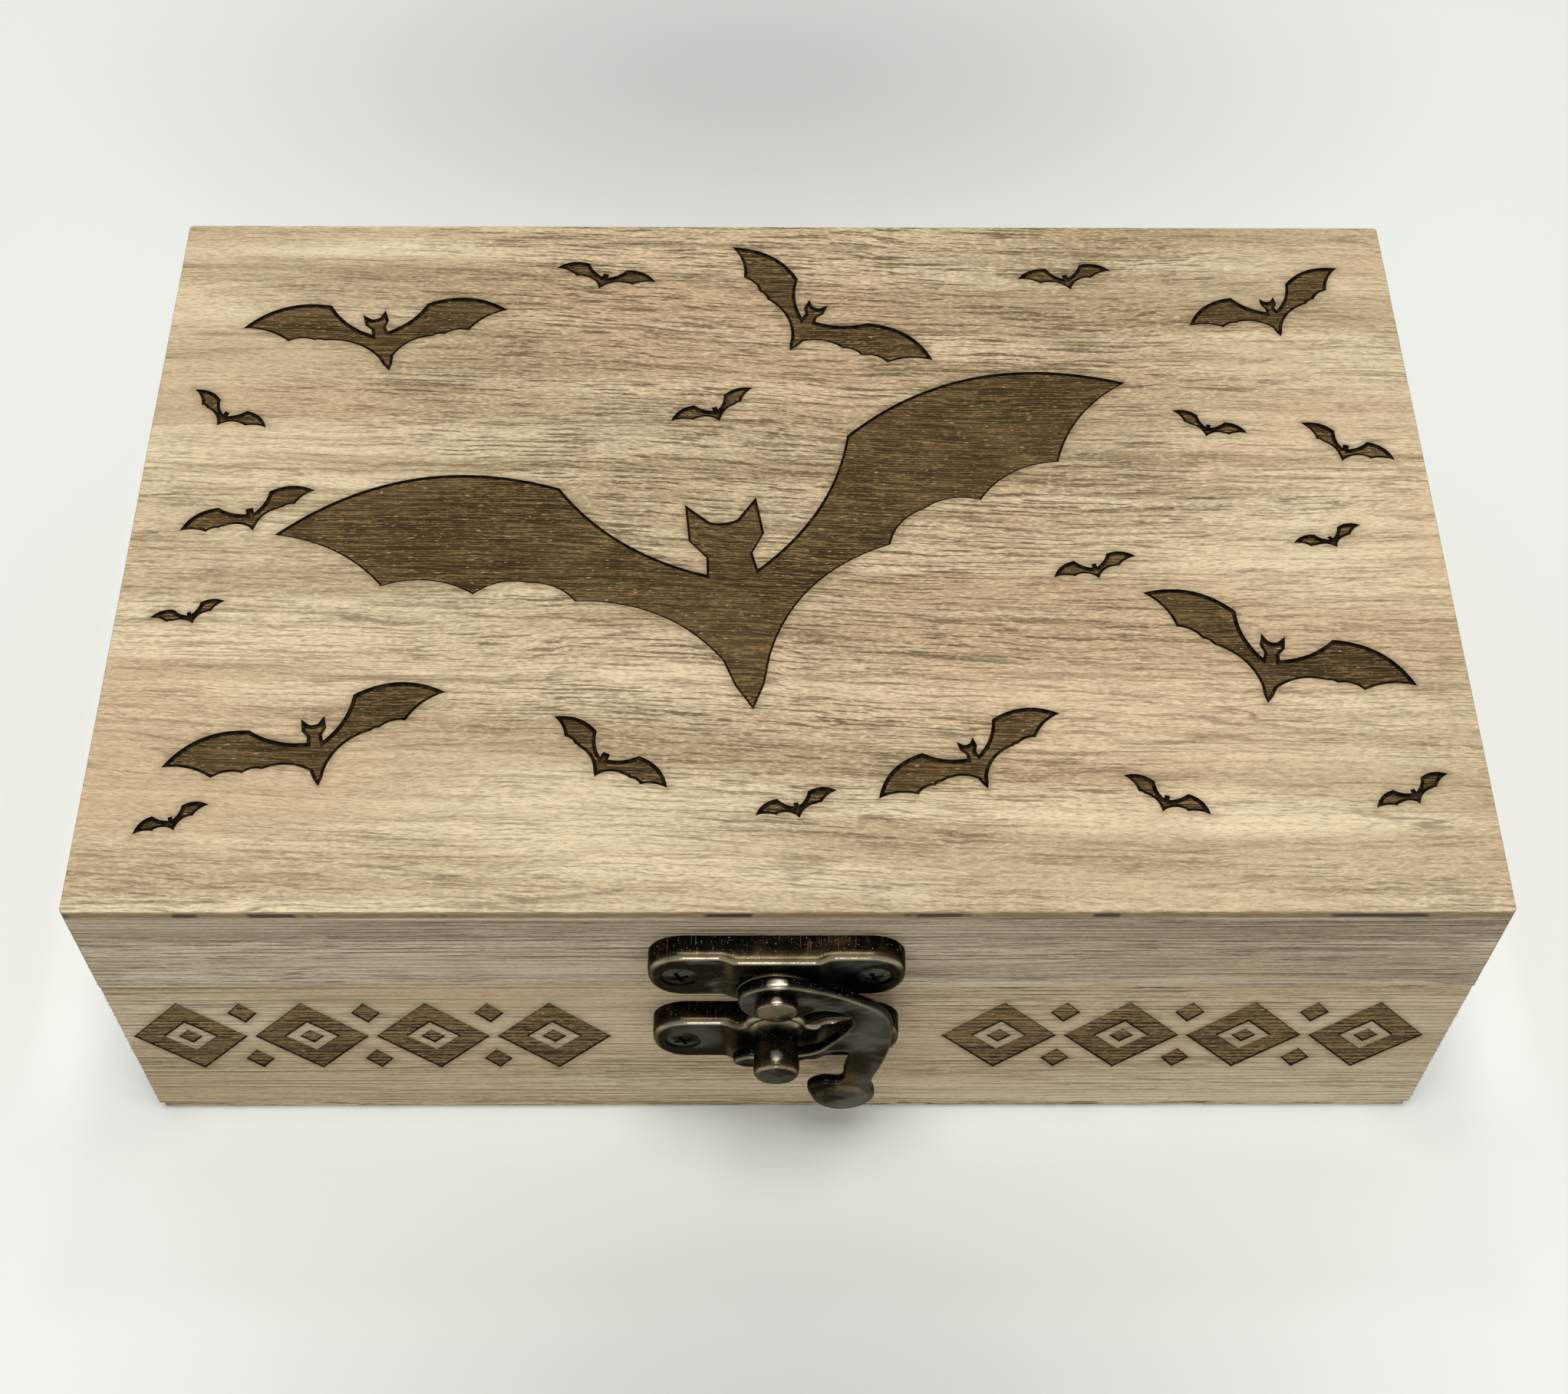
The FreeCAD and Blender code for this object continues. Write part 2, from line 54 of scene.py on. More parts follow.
class Wire:
    """An output socket of a shader that can be used in sums."""

    def __init__(self, shader, socket):
        self.shader = shader
        self.socket = socket

    def __add__(self, other):
        return self.shader.sum("ADD", self, other)

    __radd__ = __add__

    def __sub__(self, other):
        return self.shader.sum("SUBTRACT", self, other)

    def __rsub__(self, other):
        return self.shader.sum("SUBTRACT", other, self)

    def __mul__(self, other):
        return self.shader.sum("MULTIPLY", self, other)

    __rmul__ = __mul__

    def __truediv__(self, other):
        return self.shader.sum("DIVIDE", self, other)

    def __abs__(self):
        return self.shader.sum("ABSOLUTE", self, 0.0)


class Shader:
    """A node material built by calls, ending in one Principled shader."""

    def __init__(self, name):
        self.material = bpy.data.materials.new(name)
        self.material.use_nodes = True
        self.tree = self.material.node_tree
        self.tree.nodes.clear()
        self.surface = self.tree.nodes.new("ShaderNodeBsdfPrincipled")
        end = self.tree.nodes.new("ShaderNodeOutputMaterial")
        self.tree.links.new(self.surface.outputs[0], end.inputs[0])
        self.place = self.add("ShaderNodeTexCoord", out="Object")

    def add(self, kind, settings=None, sockets=None, out=0):
        """One node: its settings first, then values or wires for its sockets; gives one output."""
        node = self.tree.nodes.new(kind)
        for name, value in (settings or {}).items():
            setattr(node, name, value)
        for name, value in (sockets or {}).items():
            self.feed(node.inputs[name], value)
        return Wire(self, node.outputs[out])

    def feed(self, socket, value):
        """Sets a socket's value, or links a wire to it."""
        if isinstance(value, Wire):
            self.tree.links.new(value.socket, socket)
        else:
            socket.default_value = value

    def sum(self, operation, a, b):
        return self.add("ShaderNodeMath", {"operation": operation}, {0: a, 1: b})

    def mix(self, factor, a, b):
        """Two colours, given as triples or wires, by a factor."""
        a, b = ((*c, 1.0) if isinstance(c, tuple) else c for c in (a, b))
        return self.add("ShaderNodeMix", {"data_type": "RGBA"}, {0: factor, 6: a, 7: b}, out=2)

    def ramp(self, value, low, high, to_low=0.0, to_high=1.0):
        """A soft step from one value to another as the input goes from low to high."""
        ends = {"Value": value, "From Min": low, "From Max": high, "To Min": to_low, "To Max": to_high}
        return self.add("ShaderNodeMapRange", {"interpolation_type": "SMOOTHSTEP"}, ends)

    def noise(self, grain, stretch, seed=0.0, detail=2.0, rough=0.5):
        """Noise whose features measure stretch, in millimetres, along each axis of a place."""
        scale = [1.0 / (size * MM) for size in stretch]
        at = self.add("ShaderNodeMapping", None,
                      {"Vector": grain, "Scale": scale, "Location": (seed, seed * 1.7, seed * 0.6)})
        return self.add("ShaderNodeTexNoise", None,
                        {"Vector": at, "Scale": 1.0, "Detail": detail, "Roughness": rough})

    def part(self, vector, axis):
        """The part of a place or a direction along X, Y or Z."""
        return self.add("ShaderNodeSeparateXYZ", None, {0: vector}, out=axis)

    def oval(self, vector, centre, half_sizes):
        """How far a place is from the centre of an oval, which has 1 on its outline; in millimetres."""
        at = self.add("ShaderNodeMapping", {"vector_type": "TEXTURE"},
                      {"Vector": vector, "Location": [v * MM for v in centre],
                       "Scale": [v * MM for v in half_sizes]})
        return self.add("ShaderNodeVectorMath", {"operation": "LENGTH"}, {0: at}, out="Value")

    def bump(self, strength, deep, height):
        """The normal of a relief that is some millimetres deep."""
        return self.add("ShaderNodeBump", None,
                        {"Strength": strength, "Distance": deep * MM, "Height": height})

    def finish(self, **sockets):
        """Feeds the Principled shader; names have _ for a space."""
        for name, value in sockets.items():
            self.feed(self.surface.inputs[name.replace("_", " ")], value)
        return self.material


class WoodGrain:
    """The figure of one board: bands, dashes, lines, pores, curl, saw marks and its end grain."""

    def __init__(self, shader, along, seed, band=9.0, waviness=3.0, slant=0.0, sawn=0.0, heart=None,
                 stain=None):
        """band is the width of the pale and brown bands, waviness how far the grain strays.

        sawn is the pitch of the saw lines. heart is a darker oval (x, y, half length, half width) and
        stain a brown strip (top, height). All are in millimetres; slant is in radians."""
        self.shader = s = shader
        turned = s.place
        if along == "Y":
            turned = s.add("ShaderNodeMapping", None, {"Vector": s.place, "Rotation": (0, 0, math.pi / 2)})
        if slant:
            turned = s.add("ShaderNodeMapping", None, {"Vector": turned, "Rotation": (0, 0, slant)})
        # slow and quick waves that carry the grain sideways
        drift = s.noise(turned, (70, 30, 60), seed + 3.1, 1.0)
        ripple = s.noise(turned, (11, 7, 7), seed + 8.4, 2.0)
        shift = (drift - 0.5) * (2 * waviness * MM) + (ripple - 0.5) * (1.1 * MM)
        offset = s.add("ShaderNodeCombineXYZ", None, {"Y": shift, "Z": shift * 0.7})
        flow = s.add("ShaderNodeVectorMath", {"operation": "ADD"}, {0: turned, 1: offset})
        quick = s.noise(turned, (3.4, 1.7, 1.7), seed + 47.0, 1.0)
        twist = s.add("ShaderNodeCombineXYZ", None, {"Y": (quick - 0.5) * (0.8 * MM)})
        curly = s.add("ShaderNodeVectorMath", {"operation": "ADD"}, {0: flow, 1: twist})
        # broad marks: bands, patches, blush, and the field in which the dark dashes lie close
        self.bands = s.ramp(s.noise(flow, (150, band, band), seed, 3.0, 0.55), 0.42, 0.60)
        self.patch = s.ramp(s.noise(flow, (34, 15, 15), seed + 5.0, 2.0, 0.5), 0.35, 0.65)
        self.blush = s.ramp(s.noise(turned, (70, 45, 45), seed + 41.0, 2.0, 0.5), 0.42, 0.66)
        self.field = s.ramp(s.noise(flow, (80, band * 1.4, band * 1.4), seed + 13.0, 2.0, 0.5), 0.40, 0.61)
        # fine marks: growth lines, streaks, dashes, fibres, pores and curl
        ring = s.noise(flow, (85, band / 3.2, band / 3.2), seed + 11.0, 1.0, 0.4)
        self.lines = (1 - s.ramp(abs(ring - 0.5), 0.0, 0.018)) * (0.25 + self.patch * 0.75)
        self.streaks = s.ramp(s.noise(flow, (38, 1.25, 1.25), seed + 17.0, 2.5, 0.6), 0.50, 0.72)
        self.dashes = s.ramp(s.noise(flow, (9.0, 0.34, 0.34), seed + 19.0, 2.0, 0.5), 0.54, 0.60)
        self.fibre = s.noise(flow, (8.0, 0.27, 0.27), seed + 29.0, 2.0, 0.6)
        self.pores = s.ramp(s.noise(curly, (1.5, 0.20, 0.20), seed + 23.0, 1.0, 0.5), 0.56, 0.68)
        self.curl = s.noise(curly, (0.9, 0.22, 0.22), seed + 31.0, 1.5, 0.5)
        self.depth = self.bands * 0.80 + self.patch * 0.20
        if heart:
            far = s.oval(flow, (heart[0], heart[1], 0.0), (heart[2], heart[3], 1000.0))
            uneven = s.noise(flow, (60, 7, 7), seed + 53.0, 3.0, 0.6)
            inside = 1 - s.ramp(far + (uneven - 0.5) * 1.5, 0.45, 1.15)
            self.field = s.sum("MAXIMUM", self.field * 0.45, inside)
            self.depth = self.bands * 0.62 + self.patch * 0.10 + inside * 0.38
        # the end grain, which is darker, and the rounded corners beside it, which take painted shade
        facing = s.add("ShaderNodeTexCoord", out="Normal")
        endwise = abs(s.part(facing, along))
        self.end = s.ramp(endwise, 0.6, 0.8)
        self.corner = s.ramp(endwise, 0.15, 0.4) * (1 - s.ramp(endwise, 0.85, 0.98))
        up = s.part(s.place, "Z")
        # the brown strip, and a paler lip just under the board's top edge
        self.stain = 0.0
        self.lip = 0.0
        if stain:
            low = (stain[0] - stain[1]) * MM
            self.stain = s.ramp(up + (drift - 0.5) * (1.5 * MM), low - 0.4 * MM, low + 0.4 * MM)
            self.lip = s.ramp(up, (stain[0] - 0.45) * MM, (stain[0] - 0.25) * MM) * self.patch
        # the saw's grooves and ridges, in patches, on upright faces; they make the other marks calmer
        self.vivid = 0.68 if sawn else 1.0
        self.grooves = 0.0
        self.ridges = 0.0
        if sawn:
            level = abs(s.part(facing, "Z"))
            uneven = s.noise(turned, (70, 30, 5.0), seed + 37.0, 2.5, 0.55)
            turns = s.add("ShaderNodeMath", {"operation": "FRACT"}, {0: up / (sawn * MM) + uneven * 2.0})
            plain = s.ramp(s.noise(turned, (28, 20, 1.1), seed + 43.0, 2.0, 0.6), 0.38, 0.60, 0.05, 1.0)
            plain = plain * (1 - s.ramp(level, 0.5, 0.8))
            self.grooves = (1 - s.ramp(abs(turns - 0.5), 0.03, 0.16)) * plain
            self.ridges = (1 - s.ramp(abs(turns - 0.80), 0.04, 0.22)) * plain

    def colour(self, pale, tan, line, warm, pebble):
        """Base colour from four tones of the wood; pebble is the strength of the curly fine grain."""
        s = self.shader
        bright = tuple(min(1.0, c * 1.25) for c in pale)
        tone = s.mix(self.depth, pale, tan)
        tone = s.mix(self.blush * 0.45, tone, warm)
        tone = s.mix(self.stain * (0.45 + self.patch * 0.25), tone, tuple(c * 0.62 for c in warm))
        tone = s.mix(self.streaks * (0.12 + self.field * 0.56) * self.vivid, tone, line)
        tone = s.mix(self.dashes * (0.12 + self.field * 0.84) * self.vivid, tone, line)
        tone = s.mix(self.lines * 0.60, tone, line)
        uneven = 0.45 + self.field * 0.55
        fine = s.ramp(self.fibre * 0.35 + self.curl * 0.65, 0.35, 0.60, 0.80 * pebble, 0.0)
        tone = s.mix(fine * uneven, tone, line)
        tone = s.mix(s.ramp(self.curl, 0.50, 0.68) * (0.45 * pebble) * uneven, tone, bright)
        tone = s.mix(self.pores * (0.15 + 0.35 * pebble), tone, line)
        # painted highlight on the saw's ridges and painted shade in its grooves
        tone = s.mix(self.ridges * 0.35, tone, bright)
        tone = s.mix(self.grooves * 0.82, tone, line)
        tone = s.mix(self.lip * 0.6, tone, bright)
        # darker end grain, and painted shade on the rounded corners beside it
        return s.mix(self.end * 0.38 + self.corner * 0.35, tone, line)

    def height(self):
        """Relief of the sanded surface, 0 to about 1."""
        relief = self.fibre * 0.4 + self.curl * 0.5 - self.pores * 0.5 - self.dashes * 0.3
        return relief - self.lines * 0.3 - self.grooves * 0.8

    def bare(self, tone):
        """Ends the shader as bare sanded wood of this tone."""
        return self.shader.finish(Base_Color=tone, Normal=self.shader.bump(0.6, GRAIN_DEEP, self.height()),
                                  Roughness=0.66 + self.pores * 0.15, Specular_IOR_Level=0.22)


def wood(name, along, seed, pale, tan, line, warm, pebble=0.3, **grain_settings):
    """Bare sanded wood with its grain along X or Y."""
    grain = WoodGrain(Shader(name), along, seed, **grain_settings)
    return grain.bare(grain.colour(pale, tan, line, warm, pebble))


def dress(node, material):
    """Gives a CAD node its finish."""
    mesh = nodes[node].data
    mesh.materials.clear()
    mesh.materials.append(material)


GRAIN_DEEP = 0.07
RAIL_TONES = {"pale": (0.60, 0.505, 0.365), "tan": (0.40, 0.315, 0.20), "line": (0.095, 0.062, 0.031),
              "warm": (0.46, 0.335, 0.21)}
WALL_TONES = {"pale": (0.61, 0.50, 0.345), "tan": (0.46, 0.345, 0.20), "line": (0.13, 0.085, 0.040),
              "warm": (0.55, 0.39, 0.24)}
WALL_GRAIN = {"band": 6.0, "waviness": 1.4}
WALL_SAW_PITCH = 1.05
RAIL_STRIP_HEIGHT = 6.2
rail_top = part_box("lid_front_rail")[1].z / MM
for number, side in enumerate(("left", "right", "front", "back")):
    run = "Y" if side in ("left", "right") else "X"
    dress("lid_%s_rail" % side, wood("rail_wood_" + side, run, 40.0 + 7 * number, band=4.0, waviness=1.2,
                                     sawn=1.0, stain=(rail_top, RAIL_STRIP_HEIGHT), **RAIL_TONES))
    if side != "front":
        dress("base_%s_wall" % side, wood("wall_wood_" + side, run, 80.0 + 7 * number,
                                          sawn=WALL_SAW_PITCH, **WALL_GRAIN, **WALL_TONES))
dress("bottom_panel", wood("bottom_wood", "X", 120.0, **WALL_TONES))

# Lid board: one thin board of pale wood glued flat on the rails. A laser has burnt a flight of bats
# into its top: each is scanned out line by line to a shallow brown floor, and then its outline is
# run once more, which leaves a deeper, almost black line round it.
LID_TONES = {"pale": (0.72, 0.59, 0.39), "tan": (0.40, 0.295, 0.17), "line": (0.135, 0.088, 0.038),
             "warm": (0.60, 0.42, 0.26)}
SCORCH_REACH = 1.3
SCORCH_STEP = 0.6
LEAST_RADIUS = 0.15
BARE, FLOOR, BURNT, SIDE = range(4)
SCORCHED = (0.105, 0.064, 0.029)
GLINT = (0.50, 0.37, 0.20)


def bow(start, stop, bulge, step):
    """Points of a shallow curve from start up to stop; bulge is its rise to the left over its length."""
    start, stop = Vector(start), Vector(stop)
    run = stop - start
    peak = (start + stop) / 2 + Vector((-run.y, run.x)) * (2 * bulge)
    count = max(2, math.ceil(run.length / step))
    spots = []
    for k in range(count):
        t = k / count
        spots.append(start * (1 - t) ** 2 + peak * (2 * t * (1 - t)) + stop * t ** 2)
    return spots


def traced(corners, step):
    """A closed outline through corners (x, y, bulge of the way to the next one)."""
    spots = []
    for this, following in zip(corners, corners[1:] + corners[:1]):
        spots += bow(this[:2], following[:2], this[2], step)
    return spots


def wing(arm, hand, reach, deep, fingers):
    """One wing of a bat, from the shoulder round to the hip, as corners with bulges.

    The arm and the hand rise by these angles in degrees; deep is the wing's depth over its reach.
    The fingers are the points in the rear edge between the tip and the hip."""
    shoulder = Vector((0.055, 0.055))
    upper = Vector((math.cos(math.radians(arm)), math.sin(math.radians(arm))))
    outer = Vector((math.cos(math.radians(hand)), math.sin(math.radians(hand))))
    wrist = shoulder + upper * (0.40 * reach)
    tip = wrist + outer * (0.62 * reach)
    corners = [(*shoulder, -0.09), (*wrist, 0.15), (*tip, -0.10)]
    for k in range(1, fingers + 1):
        share = 1 - k / (fingers + 1)
        if share > 0.4:
            spot = wrist + outer * (1.033 * reach * (share - 0.4))
        else:
            spot = shoulder + upper * (reach * share)
        turn = min(1.0, max(0.0, 2 * share - 0.3))
        way = (upper * (1 - turn) + outer * turn).normalized()
        depth = deep * reach * (0.55 + 0.65 * math.sin(math.pi * min(1.0, share * 1.05) ** 0.9))
        corners.append((*(spot + Vector((way.y, -way.x)) * depth), -0.13))
    corners.append((0.05, -0.17, 0.0))
    return corners


def mirrored(corners):
    """The same corners in a mirror, taken from the last to the first, so that the outline goes on."""
    bulges = [c[2] for c in corners[:-1]]
    back = [(-c[0], c[1]) for c in reversed(corners)]
    return [(*spot, bulge) for spot, bulge in zip(back, bulges[::-1] + [0.0])]


def bat(x, y, span, tilt, right, left, fingers=3):
    """A flying bat at x, y: its outline and the width of its burnt line, which is thinner on a large one.

    right and left are each a wing's arm, hand, reach and depth. Small bats have no ears."""
    tail = [(0.028, -0.24, 0.0), (-0.004, -0.30, 0.0), (-0.034, -0.235, 0.0)]
    head = [(-0.05, 0.10, 0.0), (-0.082, 0.15, 0.0), (-0.078, 0.25, 0.0), (-0.030, 0.195, -0.10),
            (0.030, 0.195, 0.0), (0.078, 0.25, 0.0), (0.082, 0.15, 0.0), (0.05, 0.10, 0.0)]
    if span < 24:
        tail = [(0.0, -0.25, 0.0)]
        head = [(-0.05, 0.14, 0.0), (0.05, 0.14, 0.0)]
    corners = wing(*right, fingers) + tail + mirrored(wing(*left, fingers)) + head
    size = span / (max(c[0] for c in corners) - min(c[0] for c in corners))
    turn = Matrix.Rotation(math.radians(tilt), 2)
    placed = []
    for cx, cy, bulge in corners:
        spot = turn @ Vector((cx * size, cy * size))
        placed.append((spot.x + x, spot.y + y, bulge))
    return traced(placed, 0.45 if span < 40 else 0.7), 0.34 if span > 60 else 0.5


FLIGHT = (
    bat(-7, -10, 122, 8, (54, 6, 1.05, 0.21), (44, -4, 1.0, 0.22), 4),
    bat(-59, 36, 38, 16, (30, -22, 0.9, 0.26), (58, -4, 1.0, 0.24)),
    bat(3, 39, 36, -24, (22, -14, 1.0, 0.25), (62, 10, 1.0, 0.24)),
    bat(72, 41, 25, 10, (60, 12, 1.0, 0.26), (40, -30, 1.0, 0.26)),
    bat(64, -22, 37, -10, (34, -26, 1.0, 0.25), (60, 4, 1.0, 0.24)),
    bat(-61, -35, 37, 10, (56, -8, 1.0, 0.24), (24, -18, 1.0, 0.25)),
    bat(24, -37, 27, 20, (50, -14, 1.0, 0.25), (28, -30, 1.0, 0.26)),
    bat(-27, 48, 15, -20, (50, -10, 1.0, 0.26), (34, -30, 1.0, 0.26), 2),
    bat(42, 48, 14, 16, (40, -30, 1.0, 0.28), (56, -10, 1.0, 0.28), 2),
    bat(-80, 21, 13, -26, (46, -20, 1.0, 0.27), (50, 0, 1.0, 0.27), 2),
    bat(-74, 3, 19, 14, (52, -12, 1.0, 0.25), (30, -26, 1.0, 0.26)),
    bat(-80, -14, 10, 24, (40, -20, 1.0, 0.28), (50, 0, 1.0, 0.28), 2),
    bat(-10, 22, 13, 18, (56, 0, 1.0, 0.27), (40, -24, 1.0, 0.27), 2),
    bat(60, 19, 11, -14, (40, -20, 1.0, 0.28), (52, 0, 1.0, 0.28), 2),
    bat(79, 15, 14, -18, (44, -26, 1.0, 0.27), (60, 0, 1.0, 0.27), 2),
    bat(75, -1, 10, 26, (40, -20, 1.0, 0.28), (50, 0, 1.0, 0.28), 2),
    bat(42, -6, 12, 14, (44, -20, 1.0, 0.28), (40, -30, 1.0, 0.28), 2),
    bat(-24, -37, 18, -22, (30, -30, 1.0, 0.26), (60, 0, 1.0, 0.25)),
    bat(-78, -46, 10, 22, (46, -20, 1.0, 0.28), (40, -30, 1.0, 0.28), 2),
    bat(1, -44, 11, 12, (50, -10, 1.0, 0.28), (40, -30, 1.0, 0.28), 2),
    bat(48, -43, 12, -20, (40, -30, 1.0, 0.28), (50, -6, 1.0, 0.28), 2),
    bat(80, -42, 11, 18, (50, -10, 1.0, 0.28), (30, -30, 1.0, 0.28), 2),
)


def area(ring):
    """Signed area of a closed outline, positive when it runs anticlockwise."""
    return sum(a.x * b.y - b.x * a.y for a, b in zip(ring, ring[1:] + ring[:1])) / 2


def away(points, ring):
    """Distance of each point to the nearest side of a closed outline."""
    starts = numpy.array([(p.x, p.y) for p in ring])
    runs = numpy.roll(starts, -1, axis=0) - starts
    lengths = numpy.maximum((runs ** 2).sum(1), 1e-12)
    nearest = numpy.full(len(points), numpy.inf)
    for start, run, length in zip(starts, runs, lengths):
        t = numpy.clip(((points - start) @ run) / length, 0, 1)
        gap = points - (start + t[:, None] * run)
        nearest = numpy.minimum(nearest, numpy.hypot(gap[:, 0], gap[:, 1]))
    return nearest


def within(points, ring):
    """Whether each point lies inside a closed outline, by counting crossings."""
    inside = numpy.zeros(len(points), bool)
    for a, b in zip(ring, ring[1:] + ring[:1]):
        spans = (a.y > points[:, 1]) != (b.y > points[:, 1])
        if a.y != b.y:
            cross = (b.x - a.x) * (points[:, 1] - a.y) / (b.y - a.y) + a.x
            inside ^= spans & (points[:, 0] < cross)
    return inside


def beside_box(points, ring):
    """Numbers of the points that lie in an outline's box or a little beside it."""
    margin = SCORCH_REACH + SCORCH_STEP
    xs, ys = [p.x for p in ring], [p.y for p in ring]
    close = ((points[:, 0] > min(xs) - margin) & (points[:, 0] < max(xs) + margin)
             & (points[:, 1] > min(ys) - margin) & (points[:, 1] < max(ys) + margin))
    return numpy.flatnonzero(close)


def shifted(ring, amount):
    """An outline moved to the left of its way by an amount, without the spots that come too close.

    A sharp corner moves out by no more than two and a half times the amount."""
    moved = []
    for before, spot, after in zip(ring[-1:] + ring[:-1], ring, ring[1:] + ring[:1]):
        one = (spot - before).normalized()
        two = (after - spot).normalized()
        middle = (one + two).normalized()
        square = max(0.4, middle.dot(one))
        moved.append(spot + Vector((-middle.y, middle.x)) * (amount / square))
    gaps = away(numpy.array([(p.x, p.y) for p in moved]), ring)
    return [p for p, gap in zip(moved, gaps) if gap > abs(amount) * 0.93]


def rounded_frame(low, high, corner, step):
    """A rectangle with round corners, anticlockwise."""
    spots = []
    arcs = ((high[0], low[1], -90), (high[0], high[1], 0), (low[0], high[1], 90), (low[0], low[1], 180))
    for x, y, start in arcs:
        cx = x - math.copysign(corner, x - (low[0] + high[0]) / 2)
        cy = y - math.copysign(corner, y - (low[1] + high[1]) / 2)
        for k in range(5):
            turn = math.radians(start + 22.5 * k)
            spots.append(Vector((cx + corner * math.cos(turn), cy + corner * math.sin(turn))))
    full = []
    for a, b in zip(spots, spots[1:] + spots[:1]):
        full += bow(a, b, 0.0, step)
    return full


def engraved_board(name, low, high, thick, corner, ease, motifs, depths, lay, materials):
    """A board with engraved outlines in its face, in millimetres on the face's own two axes.

    Motifs are closed outlines, each with the width of its burnt line. The floor and the line lie
    inside an outline that runs anticlockwise, and outside one that runs clockwise, at two depths.
    corner is the radius of the board's corners and ease that of the edge round its face. lay turns
    (u, v, height over the face) into a place in metres. The materials are bare wood, engraved floor,
    burnt outline and the board's sides."""
    rim = rounded_frame((low[0] + ease, low[1] + ease), (high[0] - ease, high[1] - ease),
                        max(LEAST_RADIUS, corner - ease), 6.0)
    spots = list(rim)
    sides = [(k, (k + 1) % len(rim)) for k in range(len(rim))]

    def include(ring):
        first = len(spots)
        spots.extend(ring)
        sides.extend((first + k, first + (k + 1) % len(ring)) for k in range(len(ring)))

    # free points beside the outlines carry the scorch that fades out over the bare wood
    count_u, count_v = int((high[0] - low[0]) / SCORCH_STEP), int((high[1] - low[1]) / SCORCH_STEP)
    grid = numpy.array([(low[0] + (i + 0.5 * (j % 2) + 0.5) * SCORCH_STEP, low[1] + (j + 0.5) * SCORCH_STEP)
                        for i in range(count_u) for j in range(count_v)])
    nearest = numpy.full(len(grid), numpy.inf)
    for ring, groove in motifs:
        include(ring)
        inner = shifted(ring, groove)
        if len(inner) > 5:
            include(inner)
        picked = beside_box(grid, ring)
        nearest[picked] = numpy.minimum(nearest[picked], away(grid[picked], ring))
    inboard = numpy.all((grid > numpy.array(low) + 1) & (grid < numpy.array(high) - 1), axis=1)
    for spot in grid[inboard & (nearest > SCORCH_STEP * 0.4) & (nearest < SCORCH_REACH + SCORCH_STEP)]:
        spots.append(Vector(spot))
    found, _, faces, _, _, _ = delaunay_2d_cdt(spots, sides, [], 0, 1e-5)
    flat = numpy.array([(p.x, p.y) for p in found])
    centres = numpy.array([flat[list(face)].mean(0) for face in faces])
    # which faces are floor or burnt line, and how scorched each spot is
    kind_of_face = numpy.full(len(faces), BARE)
    near_line = numpy.zeros(len(found))
    for ring, groove in motifs:
        picked = beside_box(centres, ring)
        inside = within(centres[picked], ring)
        gap = away(centres[picked], ring)
        hollow = area(ring) < 0
        kind_of_face[picked[inside]] = BARE if hollow else FLOOR
        cut = (~inside if hollow else inside) & (gap < groove * 0.98)
        kind_of_face[picked[cut]] = BURNT
        picked = beside_box(flat, ring)
        heat = numpy.clip(1 - away(flat[picked], ring) / SCORCH_REACH, 0, 1) ** 1.5
        near_line[picked] = numpy.maximum(near_line[picked], heat)
    heights = {BARE: 0.0, FLOOR: -depths[0], BURNT: -depths[1]}
    corners, table, heats = [], {}, []

    def vertex(spot, kind):
        key = (spot, kind)
        if key not in table:
            table[key] = len(corners)
            corners.append(lay(flat[spot][0], flat[spot][1], heights[kind]))
            heats.append(near_line[spot])
        return table[key]

    polygons, kinds, beside = [], [], {}
    for kind, face in zip(kind_of_face, faces):
        polygons.append([vertex(spot, kind) for spot in face])
        kinds.append(kind)
        for a, b in zip(face, face[1:] + face[:1]):
            beside[(a, b)] = kind
    # small upright faces between neighbours of different depths
    edge_of_face = []
    for (a, b), kind in beside.items():
        other = beside.get((b, a))
        if other is None:
            edge_of_face.append((a, b))
        elif heights[kind] > heights[other]:
            polygons.append([vertex(a, kind), vertex(a, other), vertex(b, other), vertex(b, kind)])
            kinds.append(BURNT)
    # the sides, over a rounded edge in four steps, down to the back
    core_low = numpy.array(low) + max(LEAST_RADIUS + ease, corner)
    core_high = numpy.array(high) - max(LEAST_RADIUS + ease, corner)
    rings = []
    for k in range(1, 5):
        turn = k * math.pi / 8
        rings.append((ease * math.sin(turn), -ease * (1 - math.cos(turn))))
    rings.append((ease, -thick))
    around = {}

    def skirt(spot, ring):
        if ring == 0:
            return vertex(spot, BARE)
        if (spot, ring) not in around:
            core = numpy.clip(flat[spot], core_low, core_high)
            outward = (flat[spot] - core) / numpy.linalg.norm(flat[spot] - core)
            reach, height = rings[ring - 1]
            u, v = flat[spot] + outward * reach
            around[(spot, ring)] = len(corners)
            corners.append(lay(u, v, height))
            heats.append(0.0)
        return around[(spot, ring)]

    for a, b in edge_of_face:
        for ring in range(len(rings)):
            polygons.append([skirt(a, ring), skirt(a, ring + 1), skirt(b, ring + 1), skirt(b, ring)])
            kinds.append(BARE if ring == 0 else SIDE)
    following = dict(edge_of_face)
    loop = [edge_of_face[0][0]]
    while following[loop[-1]] != loop[0]:
        loop.append(following[loop[-1]])
    polygons.append([skirt(spot, len(rings)) for spot in reversed(loop)])
    kinds.append(BARE)
    mesh = bpy.data.meshes.new(name)
    mesh.from_pydata(corners, [], polygons)
    mesh.polygons.foreach_set("material_index", [int(kind) for kind in kinds])
    mesh.attributes.new("scorch", "FLOAT", "POINT").data.foreach_set("value", heats)
    for material in materials:
        mesh.materials.append(material)
    piece = bpy.data.objects.new(name, mesh)
    bpy.context.scene.collection.objects.link(piece)
    return piece


